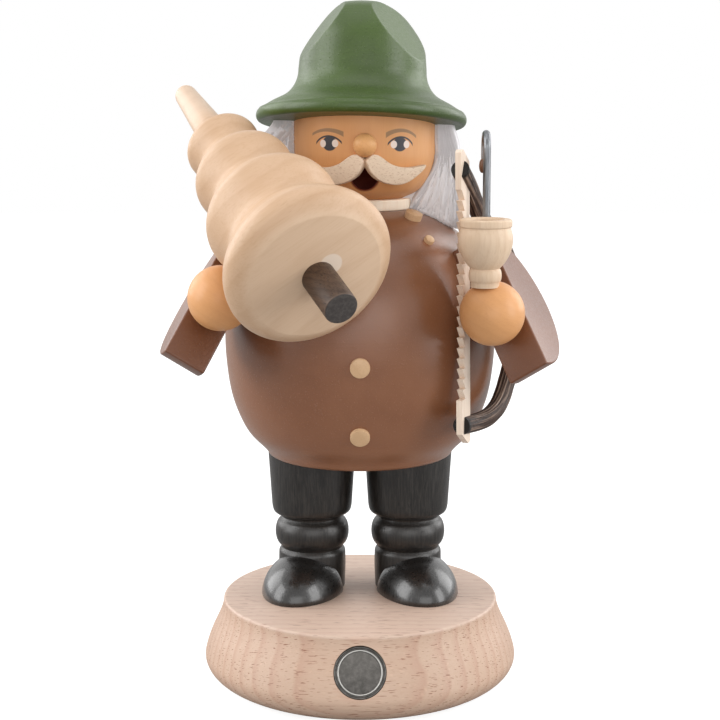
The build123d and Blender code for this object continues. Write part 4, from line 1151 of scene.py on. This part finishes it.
def bark_dowel():
    """Bark-brown trunk with streaks along it, and the sawn end painted slate."""
    tones = ((60, 42, 32), (84, 63, 48), (45, 32, 24), (30, 21, 16))
    finish, colour, rough = wood("stained_trunk", tones, (0, 0, 1), tree_tip, ring_width=1.5, contrast=0.6,
                                 pores=0.8, pore_size=(0.2, 3.5), roughness=0.45, streak=0.75)
    depth = finish.dot(finish.place, tree_tip)
    sawn_end = tree_level - trunk_length
    chamfer = finish.span(depth, sawn_end + 0.25, sawn_end + 0.45, 1.0, 0.0)
    colour = finish.blend(chamfer, colour, paint(86, 68, 56))
    grain = finish.noise(finish.place, 1.2, detail=3)
    slate = finish.blend(finish.span(grain, 0.35, 0.7), paint(62, 57, 55), paint(76, 71, 68))
    colour = finish.blend(finish.span(depth, sawn_end + 0.02, sawn_end + 0.10, 1.0, 0.0), colour, slate)
    return finish.done(colour, rough)


trunk_outline = eased([((0, -trunk_length), 0), ((trunk_radius, -trunk_length), 0.4), ((trunk_radius, 7), 0),
                       ((0, 7), 0)])
trunk = turned("tree_trunk_sawn", trunk_outline, bark_dowel(), tree_frame @ moved(0.5, 0, 0), turns=64)
seat(trunk, "figure", "dark_wood", "tree_trunk")


# Hair

scalp_radius, fringe_inside, fringe_outside, hair_reach = 21.2, 18.9, 22.2, 24.9
hair_line, nape_line, cheek_line = 149.5, 131.0, 133.0


def net(columns, rows, place):
    """A net of faces, its knots placed by column and row."""
    points = [place(column, row) for column in columns for row in rows]
    tall = len(rows)
    faces = [(i * tall + j, i * tall + j + 1, i * tall + j + tall + 1, i * tall + j + tall)
             for i in range(len(columns) - 1) for j in range(tall - 1)]
    return mesh_of(points, faces)


def make_scalp(first, last):
    """The strip of the head that the fur is glued to, between two angles from the face."""
    turns, levels = np.radians(np.linspace(first, last, 49)), np.linspace(nape_line, hair_line, 9)
    return net(turns, levels, lambda turn, level: (
        neck_shift + scalp_radius * math.sin(turn), set_back - scalp_radius * math.cos(turn), level))


def make_fringe(side):
    """The front edge of the fur, from the cheek to the outside of the lock."""
    reaches, levels = np.linspace(fringe_inside, fringe_outside, 7), np.linspace(cheek_line, hair_line, 9)
    return net(reaches, levels, lambda reach, level: (neck_shift + side * reach, set_back - 3.3, level))


def make_fur_tree():
    """Hangs fine tapering strands from the scalp, in wavy locks that rest on the shoulders."""
    jig = Jig("fur hung from the scalp", Density="Float", Thickness="Float", Foot="Float", Flare="Float",
              Front="Float", Seed="Int")
    sown = {"Mesh": jig.given["Geometry"], "Density": jig.given["Density"], "Seed": jig.given["Seed"]}
    roots = jig.made("GeometryNodeDistributePointsOnFaces", sown)
    roots = jig.marked(roots, "root", jig.position(), "FLOAT_VECTOR")
    chance = jig.made("FunctionNodeRandomValue", {2: 0.0, 3: 1.0, "Seed": jig.given["Seed"]}, 1,
                      data_type="FLOAT")
    roots = jig.marked(roots, "lot", chance)
    strand = jig.made("GeometryNodeCurvePrimitiveLine", {"Start": (0, 0, 0), "End": (0, 0, 1)})
    strand = jig.made("GeometryNodeResampleCurve", {"Curve": strand, "Count": 9})
    strands = jig.made("GeometryNodeInstanceOnPoints", {"Points": roots, "Instance": strand})
    strands = jig.made("GeometryNodeRealizeInstances", {"Geometry": strands})
    t = jig.made("GeometryNodeSplineParameter", out="Factor")
    strands = jig.marked(strands, "run", t)

    # Where the strand is rooted, and how its lock and its own wisp sway
    lot = jig.named("lot")
    root_x, root_y, root_z = jig.parts(jig.named("root", "FLOAT_VECTOR"))
    turn = jig.bearing(root_x, root_y)
    reach = ((root_x - neck_shift) ** 2.0 + (root_y - set_back) ** 2.0) ** 0.5
    around = (jig.math("COSINE", turn) * 20.0, jig.math("SINE", turn) * 20.0)
    lock = jig.noise(jig.join(*around, t * 3.0), 0.30, detail=2)
    wisp = jig.noise(jig.join(lot * 37.0, t * 2.2, around[1]), 1.1, detail=1)
    turn = turn + ((lock - 0.5) * 0.62 + (wisp - 0.5) * 0.42) * t

    # How far it stands out from the head, and tucks back in towards its tip
    height = jig.span(root_z, 128.0, 149.0, soft=False)
    grown = 1.5 + height * 0.5 + lot ** 3.0 * 1.5 + (lock - 0.5) * 3.0
    grown = grown * jig.span(reach, head_radius, scalp_radius, 0.2, 1.0)
    swell = jig.span(t, 0.0, 0.55)
    inward = jig.span(reach, 18.8, 21.0, 1.0, 0.0) * jig.span(t, 0.35, 0.9, 0.0, 8.5)
    tuck = jig.span(t, 0.55, 1.0) * 0.6 + inward * (0.4 + lot * 0.6)
    curl = (wisp - 0.5) * swell * 3.2
    radius = jig.math("MINIMUM", reach + grown * swell - tuck + curl, hair_reach)
    flared = jig.math("MAXIMUM", jig.math("SINE", turn) * -1.0, 0.0) ** 6.0 * lot * jig.given["Flare"]
    radius = radius + flared * (jig.span(t, 0.0, 0.4) * jig.span(t, 0.4, 1.0, 1.0, 0.3))

    # Where it hangs to, no further forward than the lock's front and never through the coat
    end = jig.given["Foot"] + (lot + lock) * 1.5
    level = root_z - (root_z - end) * t ** 1.15
    x = neck_shift + radius * jig.math("SINE", turn)
    y = set_back - radius * jig.math("COSINE", turn)
    y = jig.math("MINIMUM", y, jig.given["Front"] - lot * 0.8)
    share = (1.0 - (radius / coat_radius) ** fullness) ** (1 / fullness)
    cloth = jig.math("MULTIPLY_ADD", share, shoulder_rise, coat_widest + 0.35)
    strands = jig.placed(strands, jig.join(x, y, jig.math("MAXIMUM", level, cloth)))
    thickness = jig.span(t, 0.35, 1.0, 1.0, 0.22, soft=False) * jig.given["Thickness"]
    strands = jig.made("GeometryNodeSetCurveRadius", {"Curve": strands, "Radius": thickness})
    ring = jig.made("GeometryNodeCurvePrimitiveCircle", {"Resolution": 3, "Radius": 1.0})
    return jig.close(jig.made("GeometryNodeCurveToMesh",
                              {"Curve": strands, "Profile Curve": ring, "Fill Caps": True}))


def make_comb():
    """Combs a turned backing into hanging locks, deeper towards their foot."""
    jig = Jig("backing combed into locks", Depth="Float", Foot="Float", Length="Float")
    x, y, z = jig.parts(jig.position())
    turn = jig.bearing(x, y)
    down = (z - jig.given["Foot"]) / jig.given["Length"]
    around = (jig.math("COSINE", turn) * 20.0, jig.math("SINE", turn) * 20.0)
    swept = [place + down * drift for place, drift in zip(around, (1.6, -2.4))]
    broad = jig.noise(jig.join(*swept, down * 2.5), 0.42, detail=1) - 0.5
    fine = jig.noise(jig.join(*swept, down * 3.0), 2.6, detail=3) - 0.5
    radius = ((x - neck_shift) ** 2.0 + (y - set_back) ** 2.0) ** 0.5
    lift = (broad * 2.4 + fine * 0.8) * ((1.3 - down) * jig.given["Depth"]) * jig.span(radius, 18.5, 20.5)
    offset = jig.join(jig.math("SINE", turn) * lift, jig.math("COSINE", turn) * (lift * -1.0),
                      broad * (jig.span(down, 0.0, 0.3, 1.0, 0.0) * 5.0))
    return jig.close(jig.shifted(jig.given["Geometry"], offset))


backing_outline = (
    [(0, hair_foot + 0.6), (19.0, hair_foot + 0.6)]
    + smooth([(radius, hair_foot + rise) for radius, rise in
              ((20.2, 0.2), (22.6, 3.2), (23.1, 8.5), (22.8, 15), (22.2, 20.5), (21.4, 26.5))],
             (0.8, 1), (-0.2, 1), 9)
    + [(0, hair_foot + 26.5)]
)
backing_fur = fur("fur_backing", (222, 219, 221), (232, 230, 232))
backing_blank = turned("hair_blank", backing_outline, backing_fur, head_frame, turns=420)
pressed_flat(backing_blank, (0, set_back - 3.0, 130), (0, -1, 0), 0.8)
pressed_flat(backing_blank, hat_frame @ Vector((0, 0, 0.6)), hat_frame.to_3x3() @ Vector((0, 0, 1)), 0.3)
backing_blank.data.transform(to_metres.inverted())
backing = make_comb().cut("hair_backing", backing_blank.data, backing_fur, None, 180, Depth=0.75,
                          Foot=hair_foot, Length=26.0)
bpy.data.objects.remove(backing_blank)
seat(backing, "figure", "white_fur", "hair")

fur_tree = make_fur_tree()
white_fur = fur("white_fur", (216, 213, 216), (236, 234, 237))
for name, scalp, density, front, seed in (
    ("hair_right", make_scalp(181, 280), 4.6, set_back + 60, 3),
    ("hair_left", make_scalp(80, 181), 4.6, set_back + 60, 8),
    ("hair_fringe_right", make_fringe(-1), 22.0, set_back - 3.2, 5),
    ("hair_fringe_left", make_fringe(1), 22.0, set_back - 3.2, 12),
):
    strands = fur_tree.cut(name, scalp, white_fur, None, 180, Density=density, Thickness=0.085,
                           Foot=hair_foot - 2.0, Flare=6.0, Front=front, Seed=seed)
    seat(strands, "figure", "white_fur", "hair")

# Inside pieces keep their CAD form

dowel_wood = pale_wood("dowel_beech", beech_tones, ring_width=1.8, pores=0.4)
tin = metal("blued_tin", (88, 86, 84), (136, 133, 130), 0.38, scale=0.4)
tack_steel = metal("tack_steel", (120, 120, 122), (168, 168, 170), 0.3)
for node, finish in (
    ("leg_dowels", dowel_wood), ("seat_plug", beech), ("hat_dowel", dowel_wood), ("arm_dowels", dowel_wood),
    ("hand_dowels", dowel_wood), ("tree_peg", dowel_wood), ("ember_tray", tin), ("tray_tacks", tack_steel),
):
    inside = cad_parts[node]
    inside.data.materials.clear()
    inside.data.materials.append(finish)

# Studio: a white backdrop for the camera and for reflections, and a softer room for the light

world = bpy.data.worlds.new("studio")
bpy.context.scene.world = world
world.use_nodes = True
room = Bench(world.node_tree)
camera_ray, glossy_ray, clear_ray = [
    room.made("ShaderNodeLightPath", out=ray)
    for ray in ("Is Camera Ray", "Is Glossy Ray", "Is Transmission Ray")
]
seen = room.math("MAXIMUM", camera_ray, room.math("MAXIMUM", glossy_ray, clear_ray))
backdrop, soft_room = [
    room.made("ShaderNodeBackground", {"Color": (1, 1, 1, 1), "Strength": strength})
    for strength in (1.0, 0.47)
]
both = room.made("ShaderNodeMixShader", {0: seen, 1: soft_room, 2: backdrop})
room.link(both, world.node_tree.nodes["World Output"].inputs[0])


def floor_paint():
    """A grey floor that keeps the shadows and looks white to the camera."""
    finish = Finish("studio_floor", 0.9, 0.0)
    cloud = finish.noise(finish.place, 0.01, detail=2)
    grey = finish.blend(finish.span(cloud, 0.3, 0.7), (0.36, 0.36, 0.36, 1), (0.38, 0.38, 0.38, 1))
    finish.set(Emission_Color=(1, 1, 1, 1))
    glow = finish.made("ShaderNodeLightPath", out="Is Camera Ray") * 0.86
    finish.link(glow, finish.shader.inputs["Emission Strength"])
    return finish.done(grey)


floor_corners = [(-1500, -1500, 0), (1500, -1500, 0), (1500, 1500, 0), (-1500, 1500, 0)]
floor_sheet = mesh_of(floor_corners, faces=[(0, 1, 2, 3)])
floor = finished("studio_floor", floor_sheet, floor_paint(), moved(0, 0, -0.05))

figure_middle = Vector((0, 0, 0.1))
for name, place, width, height, power in (
    ("left_window", (-0.95, -0.22, 0.50), 0.6, 0.9, 7.8),
    ("right_window", (0.95, -0.36, 0.42), 0.5, 0.9, 6.4),
    ("overhead", (0, -0.15, 1.0), 0.8, 0.6, 1.5),
    ("left_rim", (-0.80, 0.50, 0.48), 0.6, 0.8, 4.4),
    ("right_rim", (0.80, 0.50, 0.48), 0.6, 0.8, 4.4),
    ("front_fill", (0.1, -1.3, 0.35), 1.2, 0.7, 4.5),
):
    light = bpy.data.lights.new(name, "AREA")
    light.shape = "RECTANGLE"
    light.size, light.size_y, light.energy = width, height, power
    lamp = bpy.data.objects.new(name, light)
    lamp.location = place
    lamp.rotation_euler = (figure_middle - Vector(place)).to_track_quat("-Z", "Y").to_euler()
    bpy.context.scene.collection.objects.link(lamp)

bpy.context.scene.view_settings.view_transform = "Standard"
